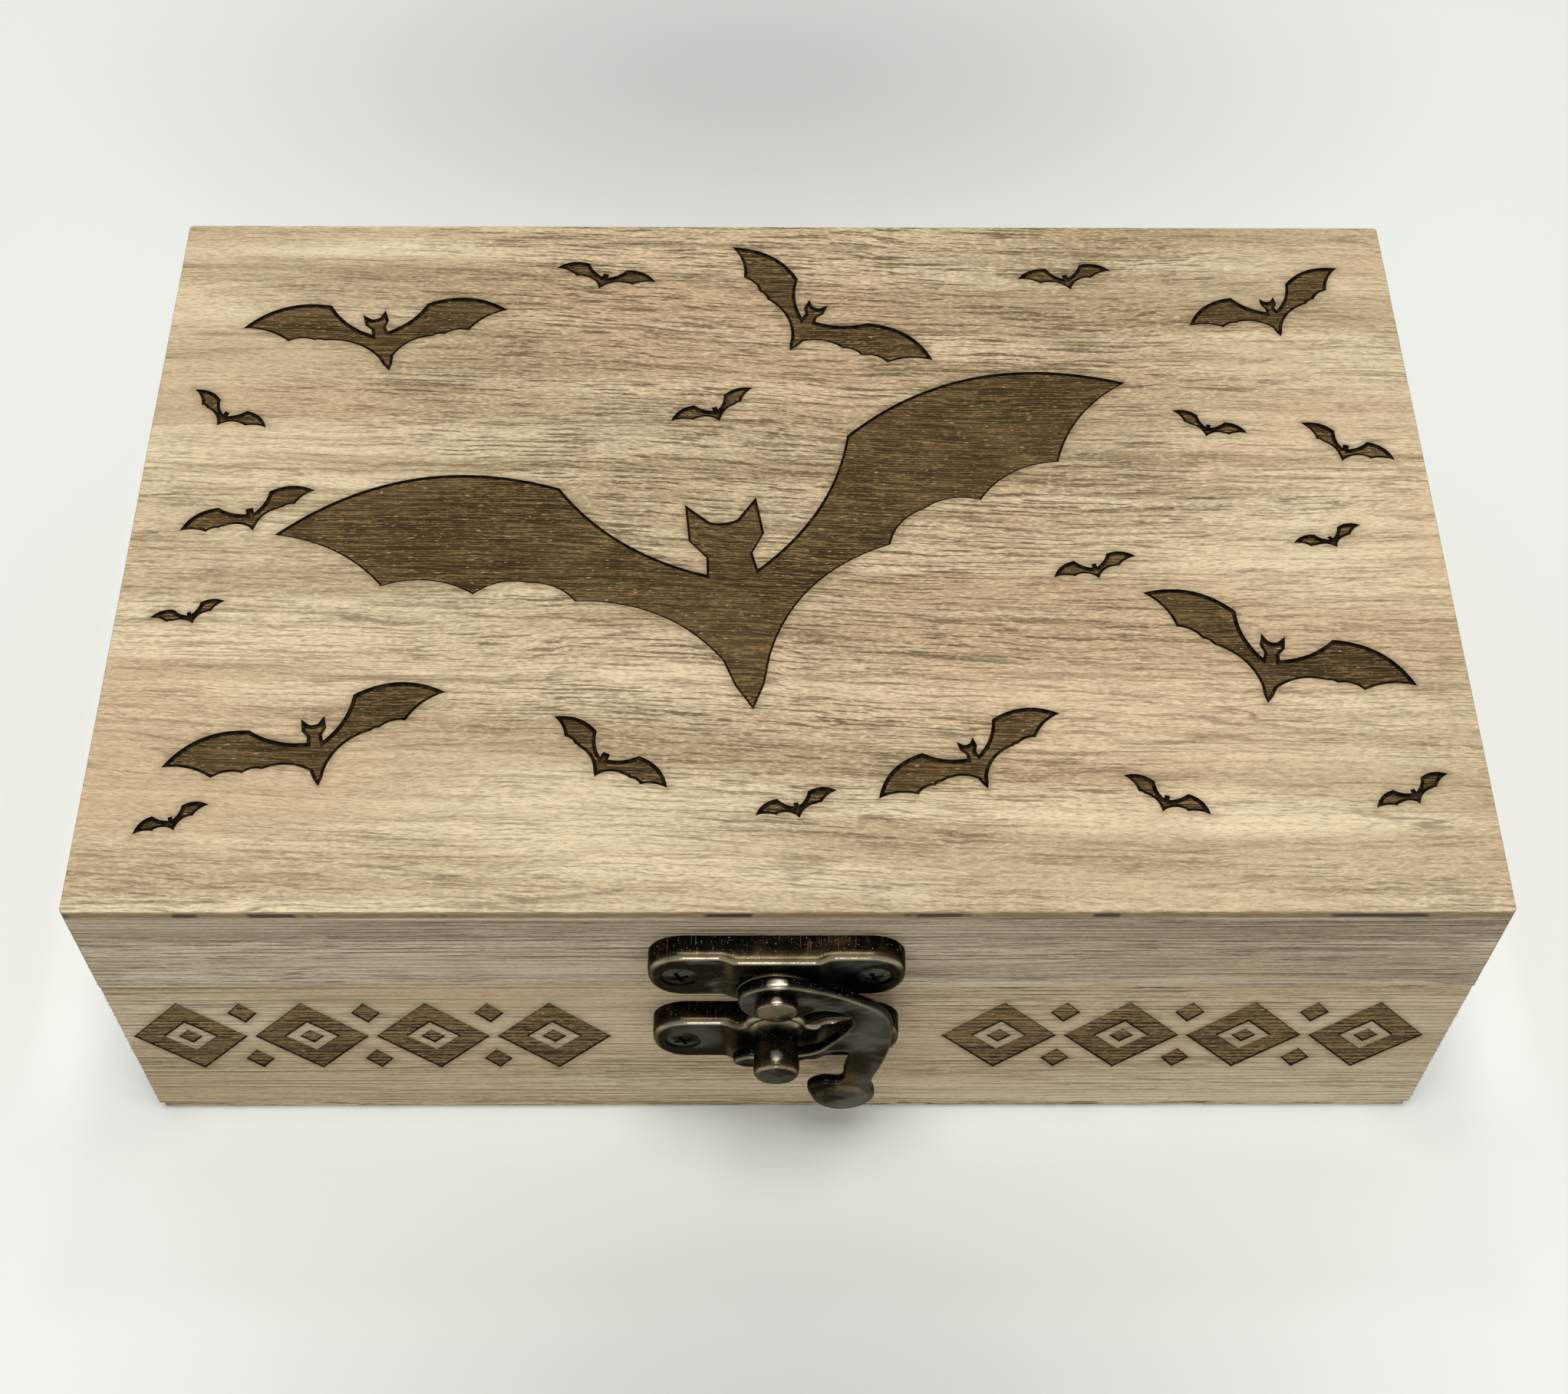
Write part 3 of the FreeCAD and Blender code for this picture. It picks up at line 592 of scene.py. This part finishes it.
def engraved_wood(name, along, seed, scan, pitch, comb, char, soot, pale, tan, line, warm, pebble,
                  **grain_settings):
    """The three finishes of an engraved board: bare wood with scorch, engraved floor, burnt outline.

    The laser's lines follow each other along the scan axis at a pitch in millimetres and show by the
    share comb. char and soot are each a dark and a light tone, of the floor and the outline."""
    s = Shader(name + "_bare")
    grain = WoodGrain(s, along, seed, **grain_settings)
    scorch = s.add("ShaderNodeAttribute", {"attribute_name": "scorch"}, out="Fac")
    patchy = s.noise(s.place, (1.6, 1.6, 1.6), seed + 50.0, 3.0, 0.6)
    burn = scorch * s.ramp(patchy, 0.25, 0.65, 0.35, 1.0)
    bare = grain.bare(s.mix(burn * 0.5, grain.colour(pale, tan, line, warm, pebble), SCORCHED))

    s = Shader(name + "_engraved")
    grain = WoodGrain(s, along, seed, **grain_settings)
    ragged = s.noise(s.place, (2.4, 0.5, 0.5), seed + 60.0, 2.0, 0.6)
    turns = (s.part(s.place, scan) / (pitch * MM) + ragged * 1.4) * (2 * math.pi)
    ridge = s.add("ShaderNodeMath", {"operation": "SINE"}, {0: turns}) * 0.5 + 0.5
    patch = s.noise(s.place, (14, 9, 9), seed + 70.0, 3.0, 0.6)
    middle = tuple((a + b) / 2 for a, b in zip(*char))
    streaky = ridge * comb + grain.fibre * (1.1 - comb * 0.8)
    tone = s.mix(s.ramp(streaky, 0.42 + comb * 0.1, 0.78), char[0], middle)
    tone = s.mix(s.ramp(grain.fibre * 0.5 + grain.curl * 0.5, 0.50, 0.60) * 0.80, tone, char[1])
    tone = s.mix(s.ramp(patch, 0.35, 0.70) * 0.28, tone, char[1])
    tone = s.mix(grain.dashes * 0.55 + grain.bands * 0.22, tone, char[0])
    # painted highlight on the saw's ridges and painted shade in its grooves
    tone = s.mix(grain.ridges * 0.75, tone, char[1])
    tone = s.mix(grain.grooves * 0.85, tone, tuple(c * 0.6 for c in char[0]))
    glint = s.ramp(s.noise(s.place, (1.0, 0.22, 0.22), seed + 80.0, 1.0, 0.5), 0.67, 0.75)
    tone = s.mix(glint * (0.2 + ridge * 0.7), tone, GLINT)
    relief = ridge * 0.8 + grain.fibre * 0.8 - grain.pores * 0.4
    floor = s.finish(Base_Color=tone, Roughness=0.6 - glint * 0.25, Specular_IOR_Level=0.04,
                     Normal=s.bump(0.8, GRAIN_DEEP, relief))

    s = Shader(name + "_burnt")
    cinder = s.noise(s.place, (0.8, 0.8, 0.8), seed + 90.0, 3.0, 0.6)
    tone = s.mix(s.ramp(cinder, 0.4, 0.75), *soot)
    burnt = s.finish(Base_Color=tone, Roughness=0.8, Specular_IOR_Level=0.0)
    return bare, floor, burnt


def ply_edge(name, top, thick, seed):
    """The sides of a thin board made of layers: pale skins, a darker core and gaps in the core, which are
    painted near black as painted shade.
    """
    s = Shader(name)
    depth = (top * MM - s.part(s.place, "Z")) / (thick * MM)
    wander = (s.noise(s.place, (20, 20, 4), seed, 2.0) - 0.5) * 0.12
    core = s.ramp(depth + wander, 0.20, 0.30) * (1 - s.ramp(depth + wander, 0.80, 0.88))
    fleck = s.noise(s.place, (3.2, 3.2, 0.25), seed + 4.0, 3.0, 0.6)
    tone = s.mix(s.ramp(fleck, 0.3, 0.7), (0.42, 0.32, 0.17), (0.19, 0.125, 0.055))
    tone = s.mix(core * 0.50, tone, (0.13, 0.082, 0.034))
    # gaps in the core, painted near black: painted shade inside them
    gap = core * s.ramp(s.noise(s.place, (13, 13, 60), seed + 9.0, 3.0, 0.6), 0.505, 0.545)
    tone = s.mix(gap * 0.92, tone, (0.018, 0.012, 0.007))
    return s.finish(Base_Color=tone, Roughness=0.75, Normal=s.bump(0.6, 0.15, fleck * 0.4 - gap))


lid_low, lid_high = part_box("lid_top_panel")
lid_top = lid_high.z / MM
lid_thick = (lid_high.z - lid_low.z) / MM
lid_finishes = engraved_wood(
    "lid_wood", "X", 0.0, scan="Y", pitch=0.42, comb=0.3, char=((0.030, 0.017, 0.006), (0.215, 0.138, 0.058)),
    soot=((0.007, 0.005, 0.003), (0.040, 0.025, 0.012)), pebble=0.52, slant=0.035,
    heart=(3.0, 26.0, 80.0, 88.0), **LID_TONES)
flight = [(ring if area(ring) > 0 else ring[::-1], groove) for ring, groove in FLIGHT]
lid_board = engraved_board(
    "engraved_lid_board", (lid_low.x / MM, lid_low.y / MM), (lid_high.x / MM, lid_high.y / MM), lid_thick,
    corner=0.6, ease=0.15, motifs=flight, depths=(0.22, 0.38),
    lay=lambda u, v, height: (u * MM, v * MM, (lid_top + height) * MM),
    materials=(*lid_finishes, ply_edge("lid_edge_wood", lid_top, lid_thick, 5.0)))
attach(lid_board, "lid")
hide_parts("lid_top_panel")

# Front wall of the base: a board like the other walls, with a band of lozenges engraved by the same
# laser on each side of the latch. Its scanned floor has coarser ridges, which catch the light.
BAND_LOW = 14.2
BAND_HIGH = 34.2
BAND_SIDES = ((-89.0, -23.4), (20.4, 87.0))
LOZENGES = 4


def lozenge(x, z, half_wide, half_high, hollow=False):
    """A rhombus round x, z; a hollow one runs the other way and bounds bare wood."""
    corners = [(x + half_wide, z, 0.0), (x, z + half_high, 0.0),
               (x - half_wide, z, 0.0), (x, z - half_high, 0.0)]
    ring = traced(corners, 1.0)
    return ring[::-1] if hollow else ring


def band(start, stop):
    """Large framed lozenges in a row, with small ones above and below where they meet."""
    middle = (BAND_LOW + BAND_HIGH) / 2
    half_high = (BAND_HIGH - BAND_LOW) / 2
    half_wide = (stop - start) / LOZENGES / 2
    rings = []
    for k in range(LOZENGES):
        x = start + half_wide * (2 * k + 1)
        rings.append(lozenge(x, middle, half_wide - 0.5, half_high))
        rings.append(lozenge(x, middle, half_wide * 0.42, half_high * 0.42, hollow=True))
        rings.append(lozenge(x, middle, half_wide * 0.20, half_high * 0.20))
        if k:
            for turn in (-1, 1):
                rings.append(lozenge(x - half_wide, middle + turn * half_high * 0.70, half_wide * 0.24,
                                     half_high * 0.29))
    return rings


wall_low, wall_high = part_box("base_front_wall")
front_face = wall_low.y / MM
wall_finishes = engraved_wood(
    "front_wall_wood", "X", 200.0, scan="Z", pitch=0.95, comb=0.8,
    char=((0.018, 0.010, 0.004), (0.325, 0.205, 0.088)), soot=((0.016, 0.010, 0.005), (0.095, 0.060, 0.028)),
    pebble=0.3, sawn=WALL_SAW_PITCH, **WALL_GRAIN, **WALL_TONES)
front_wall = engraved_board(
    "engraved_front_wall", (wall_low.x / MM, wall_low.z / MM), (wall_high.x / MM, wall_high.z / MM),
    (wall_high.y - wall_low.y) / MM, corner=0.3, ease=0.28,
    motifs=[(ring, 0.24) for ends in BAND_SIDES for ring in band(*ends)], depths=(0.12, 0.17),
    lay=lambda u, v, height: (u * MM, (front_face - height) * MM, v * MM),
    materials=(*wall_finishes, wood("front_wall_sides", "X", 200.0, **WALL_GRAIN, **WALL_TONES)))
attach(front_wall, "base")
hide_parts("base_front_wall")

# Frayed corners: where the saw cut across the ends of the front boards it tore out short fibres,
# which stand off the corners of the base and of the lid.
FIBRES_PER_MM = 1.6
FIBRE_THICK = 0.10


def fibre_tree(material):
    """Cones scattered along a line by Geometry Nodes, all leaning one way with a little disorder."""
    tree = bpy.data.node_groups.new("frayed_corner", "GeometryNodeTree")
    tree.interface.new_socket("Geometry", in_out="OUTPUT", socket_type="NodeSocketGeometry")
    inputs = {}
    for name, kind in (("Foot", "Vector"), ("Top", "Vector"), ("Lean", "Vector"), ("Length", "Float"),
                       ("Thickness", "Float"), ("Count", "Int"), ("Seed", "Int")):
        socket = tree.interface.new_socket(name, in_out="INPUT", socket_type="NodeSocket" + kind)
        inputs[name] = socket.identifier
    entry = tree.nodes.new("NodeGroupInput")
    leave = tree.nodes.new("NodeGroupOutput")

    def add(kind, settings=None, sockets=None):
        node = tree.nodes.new(kind)
        for name, value in (settings or {}).items():
            setattr(node, name, value)
        for name, value in (sockets or {}).items():
            if hasattr(value, "is_output"):
                tree.links.new(value, node.inputs[name])
            else:
                node.inputs[name].default_value = value
        return node

    line = add("GeometryNodeCurvePrimitiveLine", None,
               {"Start": entry.outputs["Foot"], "End": entry.outputs["Top"]})
    spots = add("GeometryNodeResampleCurve", None,
                {"Curve": line.outputs[0], "Count": entry.outputs["Count"]})
    cone = add("GeometryNodeMeshCone", {"fill_type": "NGON"},
               {"Vertices": 4, "Radius Top": 0.00001, "Radius Bottom": entry.outputs["Thickness"],
                "Depth": entry.outputs["Length"]})
    disorder = add("FunctionNodeRandomValue", {"data_type": "FLOAT_VECTOR"},
                   {"Min": (-0.5, -0.5, -0.9), "Max": (0.5, 0.5, 0.4), "Seed": entry.outputs["Seed"]})
    way = add("ShaderNodeVectorMath", {"operation": "ADD"},
              {0: entry.outputs["Lean"], 1: disorder.outputs[0]})
    turn = add("FunctionNodeAlignRotationToVector", {"axis": "Z"}, {"Vector": way.outputs[0]})
    length = add("FunctionNodeRandomValue", {"data_type": "FLOAT"},
                 {"Min": 0.3, "Max": 1.0, "Seed": entry.outputs["Seed"]})
    fibres = add("GeometryNodeInstanceOnPoints", None,
                 {"Points": spots.outputs[0], "Instance": cone.outputs[0], "Rotation": turn.outputs[0],
                  "Scale": length.outputs[1]})
    real = add("GeometryNodeRealizeInstances", None, {"Geometry": fibres.outputs[0]})
    painted = add("GeometryNodeSetMaterial", None, {"Geometry": real.outputs[0], "Material": material})
    tree.links.new(painted.outputs[0], leave.inputs[0])
    return tree, inputs


def frayed(name, body, node, inset, reach, lean, material):
    """The fibres along both ends of a front board, inset from them and up to reach millimetres long.

    lean is their way outward and forward."""
    tree, inputs = fibre_tree(material)
    low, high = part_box(node)
    strips = []
    for turn in (-1, 1):
        x = turn * (high.x - inset * MM)
        y = low.y + 0.1 * MM
        strip = bpy.data.objects.new("strip", bpy.data.meshes.new("strip"))
        bpy.context.scene.collection.objects.link(strip)
        modifier = strip.modifiers.new("frayed", "NODES")
        modifier.node_group = tree
        values = {"Foot": (x, y, low.z + MM), "Top": (x, y, high.z - MM),
                  "Lean": (turn * lean[0], lean[1], -0.2), "Length": reach * MM,
                  "Thickness": FIBRE_THICK * MM, "Count": int((high.z - low.z) / MM * FIBRES_PER_MM),
                  "Seed": 11 + turn}
        for socket, value in values.items():
            modifier[inputs[socket]] = value
        strips.append(strip)
    bpy.context.view_layer.update()
    corners, faces = [], []
    for strip in strips:
        solid = bpy.data.meshes.new_from_object(strip.evaluated_get(bpy.context.evaluated_depsgraph_get()))
        start = len(corners)
        corners += [v.co[:] for v in solid.vertices]
        faces += [[start + k for k in face.vertices] for face in solid.polygons]
        bpy.data.objects.remove(strip)
    mesh = bpy.data.meshes.new(name)
    mesh.from_pydata(corners, [], faces)
    mesh.materials.append(material)
    piece = bpy.data.objects.new(name, mesh)
    bpy.context.scene.collection.objects.link(piece)
    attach(piece, body)


s = Shader("torn_fibre")
shade = s.noise(s.place, (0.9, 0.9, 0.9), 3.0, 2.0)
torn_fibre = s.finish(Base_Color=s.mix(s.ramp(shade, 0.35, 0.65), (0.34, 0.25, 0.14), (0.80, 0.72, 0.56)),
                      Roughness=0.8, Specular_IOR_Level=0.2)
frayed("base_corner_fibres", "base", "base_front_wall", inset=0.1, reach=0.36,
       lean=(0.75, -0.7), material=torn_fibre)
frayed("lid_corner_fibres", "lid", "lid_front_rail", inset=0.35, reach=0.36,
       lean=(0.6, -0.8), material=torn_fibre)

# Latch and hinges: die-cast and pressed metal in antique bronze. The sides are almost black: dark
# plating, and painted shade for the dark they reflect, with bright specks that are painted glints.
# Handling has rubbed the rims of the front faces to brass, and the faces themselves to a brushed,
# olive grey; the rims that face up to the lamps are painted lighter as a painted highlight.
# tones of the patches: a bright brass for painted highlights, a near black for painted shade, a lighter
# brushed grey with painted sheen, and two browns of the metal's own colour
PAINTED_HIGHLIGHT = (0.46, 0.41, 0.31)
PAINTED_SHADE = (0.008, 0.007, 0.004)
BRUSHED_SHEEN = (0.145, 0.143, 0.126)
STUD_BROWN = (0.10, 0.075, 0.033)
KNOB_BROWN = (0.095, 0.072, 0.031)
HUB_RISE = 0.65


def bronze(name, seed, rims, worn=1.0, brass=0.0, patches=()):
    """Antique bronze; rims are the places in y of the front faces, whose edges are rubbed, and lighter
    where they face up to the lamps, as a painted highlight.

    worn is how much the rims are rubbed, brass how much the faces are. A patch is an oval of another
    tone, some the metal's own colour and some painted shade, sheen or highlight: its place and half
    sizes in millimetres, the tone and its strength."""
    s = Shader(name)
    facing = s.add("ShaderNodeTexCoord", out="Normal")
    front = abs(s.part(facing, "Y"))
    facing_lamp = s.ramp(s.part(facing, "Z"), 0.10, 0.50, 0.12, 1.0)
    across = s.part(s.place, "Y")
    near = 0.0
    for rim in rims:
        near = s.sum("MAXIMUM", near, s.ramp(abs(across - rim), 0.35 * MM, 1.5 * MM, 1.0, 0.0))
    edge = near * s.ramp(front, 0.40, 0.72) * (1 - s.ramp(front, 0.93, 0.995))
    blotch = s.noise(s.place, (3.2, 3.2, 3.2), seed, 4.0, 0.6)
    cloud = s.noise(s.place, (6.5, 4.0, 4.0), seed + 3.0, 2.0, 0.5)
    glint_speck = s.ramp(s.noise(s.place, (0.17, 0.17, 0.17), seed + 5.0, 1.0, 0.5), 0.71, 0.76)
    leaning = s.add("ShaderNodeMapping", None, {"Vector": s.place, "Rotation": (0, 0.5, 0)})
    brushed = s.noise(leaning, (4.5, 4.5, 0.10), seed + 9.0, 2.0, 0.6)
    scratch = s.ramp(s.noise(leaning, (0.16, 3.0, 1.6), seed + 12.0, 1.0, 0.5), 0.66, 0.72)
    # the sides, near black: dark plating, and painted shade for the dark surroundings they reflect
    side = s.mix(s.ramp(blotch, 0.46, 0.78), (0.006, 0.005, 0.004), (0.045, 0.032, 0.016))
    # near the rims the sides turn olive-brown: rubbed plating, and painted sheen round the rims' highlight
    side = s.mix(near * s.ramp(blotch, 0.30, 0.62, 0.25, 0.80), side, (0.080, 0.062, 0.031))
    face = s.mix(s.ramp(brushed, 0.35, 0.70), (0.040, 0.039, 0.033), (0.125, 0.123, 0.108))
    face = s.mix(s.ramp(cloud, 0.40, 0.54) * 0.90, face, (0.007, 0.006, 0.004))
    tone = s.mix(s.ramp(front, 0.80, 0.97), side, face)
    # the brass of the rubbed rims, only on rims that face up to the lamps and there also smoother: partly
    # wear, partly a painted highlight
    edge = edge * facing_lamp * s.ramp(blotch, 0.25, 0.55, 0.45, 1.0) * worn
    tone = s.mix(edge * 0.80, tone, (0.42, 0.35, 0.235))
    tone = s.mix(scratch * (1 - front * 0.6) * 0.30, tone, (0.36, 0.27, 0.14))
    # bright specks on the sides: painted glints on the cast grain, less metallic
    tone = s.mix(glint_speck * 0.8 * (1 - front * 0.9), tone, (0.70, 0.62, 0.48))
    tone = s.mix(s.ramp(front, 0.90, 0.99) * brass * s.ramp(blotch, 0.35, 0.65), tone, (0.21, 0.165, 0.095))
    for place, sizes, shade, strength in patches:
        far = s.oval(s.place, place, sizes) + (blotch - 0.5) * 0.8 + (brushed - 0.5) * 0.4
        tone = s.mix((1 - s.ramp(far, 0.45, 1.05)) * strength, tone, shade)
    uneven = s.noise(s.place, (0.8, 0.8, 0.8), seed + 14.0, 3.0, 0.5)
    return s.finish(Base_Color=tone, Metallic=0.95 - glint_speck * 0.7, Normal=s.bump(0.30, 0.10, uneven),
                    Roughness=0.22 + blotch * 0.18 - edge * 0.14, Specular_Tint=(0.50, 0.47, 0.42, 1.0))


rivet_low, rivet_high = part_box("latch_rivet")
middle = (rivet_low.x + rivet_high.x) / 2 / MM
plate_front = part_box("latch_plate")[0].y
plate_rims = (plate_front, plate_front + HUB_RISE * MM)
stud_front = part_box("keeper_plate")[0].y
hook_low, hook_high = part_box("latch_hook")
hook_front = hook_low.y / MM
hook_foot = hook_low.z / MM
hook_head = hook_high.z / MM
# painted shade on the plate's face: right of the hub, where the hook casts its shadow, and beside the hub's
# step on the left
dress("latch_plate", bronze("bronze_latch_plate", 0.0, plate_rims, patches=[
    ((9.0, plate_front / MM, 46.5), (6.5, 3.0, 5.0), PAINTED_SHADE, 0.85),
    ((-7.6, plate_front / MM, 46.2), (2.4, 3.0, 4.5), PAINTED_SHADE, 0.75)]))
# painted sheen on the left of the face, painted shade beside the stud under the hook, the stud's own brown,
# and a painted highlight near the front of the stud's top
dress("keeper_plate", bronze("bronze_keeper_plate", 3.0, (*plate_rims, stud_front), patches=[
    ((-12.0, plate_front / MM, 31.0), (4.5, 3.0, 5.0), BRUSHED_SHEEN, 0.45),
    ((-6.8, plate_front / MM, 31.0), (2.6, 3.0, 5.5), PAINTED_SHADE, 0.80),
    ((middle, stud_front / MM + 2.5, 33.6), (4.0, 3.0, 4.0), STUD_BROWN, 0.65),
    ((middle, stud_front / MM + 1.7, 36.5), (0.9, 0.9, 0.9), PAINTED_HIGHLIGHT, 0.95)]))
# painted sheen on the arm, the ring and the knob's lower rim, painted shade on the neck and the knob's upper
# left, the knob's own brown, and a painted highlight on the top of the ring
dress("latch_hook", bronze("bronze_hook", 6.0, (hook_low.y,), patches=[
    ((11.2, hook_front, hook_foot + 25.0), (3.5, 4.0, 9.0), BRUSHED_SHEEN, 0.40),
    ((middle - 3.6, hook_front, hook_head - 5.0), (2.6, 3.0, 4.5), BRUSHED_SHEEN, 0.35),
    ((9.3, hook_front, hook_foot + 15.0), (2.6, 4.0, 5.5), PAINTED_SHADE, 0.80),
    ((9.6, hook_front, hook_foot + 3.4), (4.6, 4.0, 3.2), BRUSHED_SHEEN, 0.65),
    ((8.4, hook_front, hook_foot + 9.3), (2.2, 4.0, 3.4), KNOB_BROWN, 0.60),
    ((4.4, hook_front, hook_foot + 9.8), (4.0, 4.0, 5.6), PAINTED_SHADE, 0.95),
    ((middle, hook_front + 1.2, hook_head), (1.5, 1.5, 1.0), PAINTED_HIGHLIGHT, 0.90)]))
# a painted highlight on the rivet head
dress("latch_rivet", bronze("bronze_rivet", 40.0, (rivet_low.y,), worn=0.7, brass=0.9, patches=[
    ((middle, rivet_low.y / MM + 0.7, 48.0), (0.9, 0.8, 0.7), PAINTED_HIGHLIGHT, 0.90)]))
for number, node in enumerate(("latch_washer", "latch_plate_screws", "keeper_plate_screws")):
    dress(node, bronze("bronze_" + node, 9.0 + 3.0 * number, (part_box(node)[0].y,), worn=0.35))
for node in sorted(nodes):
    if "hinge" in node:
        dress(node, bronze("bronze_" + node, 50.0, (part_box(node)[1].y,), worn=0.7))

# Table, daylight and camera: a pale table top with painted shade behind and in front of the box and
# painted light close beside it, a large soft light above with two small ones for the glints on the
# latch, weak fill from the room, and the camera where the photographer held it, above and in front.
floor_mesh = bpy.data.meshes.new("table_top")
TABLE_HALF = 3.0
table_corners = [(x * TABLE_HALF, y * TABLE_HALF, 0.0) for x, y in ((-1, -1), (1, -1), (1, 1), (-1, 1))]
floor_mesh.from_pydata(table_corners, [], [(0, 1, 2, 3)])
table_top = bpy.data.objects.new("table_top", floor_mesh)
bpy.context.scene.collection.objects.link(table_top)
s = Shader("table_paint")
aside = abs(s.part(s.place, "X"))
deep = s.part(s.place, "Y")
beyond_end = aside - wall_high.x
beyond_front = abs(deep) + wall_low.y
# painted light: the table is paler in strips along the front and the ends of the box, where the box would
# shade it, but not under the latch, whose shadow stays
under_latch = (1 - s.ramp(aside, 12 * MM, 26 * MM)) * s.ramp(deep, -60 * MM, 0.0, 1.0, 0.0)
front_strip = (1 - s.ramp(beyond_front, 0.0, 9.5 * MM)) * (1 - s.ramp(beyond_end, -8 * MM, 4 * MM))
end_strip = (1 - s.ramp(beyond_end, 10 * MM, 24 * MM)) * (1 - s.ramp(beyond_front, -16 * MM, 8 * MM))
bright = s.sum("MAXIMUM", front_strip * (1 - under_latch), end_strip)
tone = s.mix(bright, (0.755, 0.775, 0.738), (0.905, 0.945, 0.920))
# painted shade: two soft dark ovals on the table, behind and in front of the box
for place, sizes, strength in (((-5, 160, 0), (140, 75, 1), 0.33), ((0, -106, 0), (100, 46, 1), 0.28)):
    shade = 1 - s.ramp(s.oval(s.place, place, sizes), 0.0, 1.1)
    tone = s.mix(shade * strength, tone, (0.0, 0.0, 0.0))
table_paint = s.finish(Base_Color=tone, Roughness=0.7)
floor_mesh.materials.append(table_paint)

world = bpy.data.worlds.new("room")
world.use_nodes = True
room_light = world.node_tree.nodes["Background"]
room_light.inputs["Color"].default_value = (0.97, 0.98, 1.0, 1.0)
room_light.inputs["Strength"].default_value = 0.55
bpy.context.scene.world = world


def soft_light(name, at, towards, size, power):
    """An area light of a width and height at a place, aimed at another."""
    lamp = bpy.data.lights.new(name, "AREA")
    lamp.shape = "RECTANGLE"
    lamp.size, lamp.size_y = size
    lamp.energy = power
    lamp.color = (1.0, 0.98, 0.95)
    lamp_object = bpy.data.objects.new(name, lamp)
    bpy.context.scene.collection.objects.link(lamp_object)
    aim = Vector(towards) - Vector(at)
    lamp_object.matrix_world = Matrix.Translation(at) @ aim.to_track_quat("-Z", "Y").to_matrix().to_4x4()


soft_light("light_above", (0.0, -0.14, 1.0), (0, -0.05, 0.0), (0.42, 0.42), 6.3)
soft_light("light_front", (-0.02, -0.80, 0.16), (0, -0.06, 0.05), (0.06, 0.22), 0.38)
soft_light("light_behind", (0.005, 0.178, 0.543), (-0.0016, -0.065, 0.05), (0.05, 0.05), 0.22)

CAMERA_AT = (-3.633, -196.365, 310.780)
CAMERA_DOWN = 0.97857
CAMERA_TURN = 0.018045
CAMERA_ROLL = 0.01516
FOCAL_PIXELS = 3018.88
PHOTO_WIDE = 2044
camera = bpy.data.cameras.new("camera")
camera.sensor_width = 36.0
camera.lens = FOCAL_PIXELS / PHOTO_WIDE * camera.sensor_width
camera.clip_start = 0.01
camera_object = bpy.data.objects.new("camera", camera)
bpy.context.scene.collection.objects.link(camera_object)
camera_object.matrix_world = (Matrix.Translation(Vector(CAMERA_AT) * MM)
                              @ Matrix.Rotation(-CAMERA_TURN, 4, "Z")
                              @ Matrix.Rotation(math.pi / 2 - CAMERA_DOWN, 4, "X")
                              @ Matrix.Rotation(CAMERA_ROLL, 4, "Z"))
bpy.context.scene.camera = camera_object
bpy.context.scene.view_settings.view_transform = "Standard"
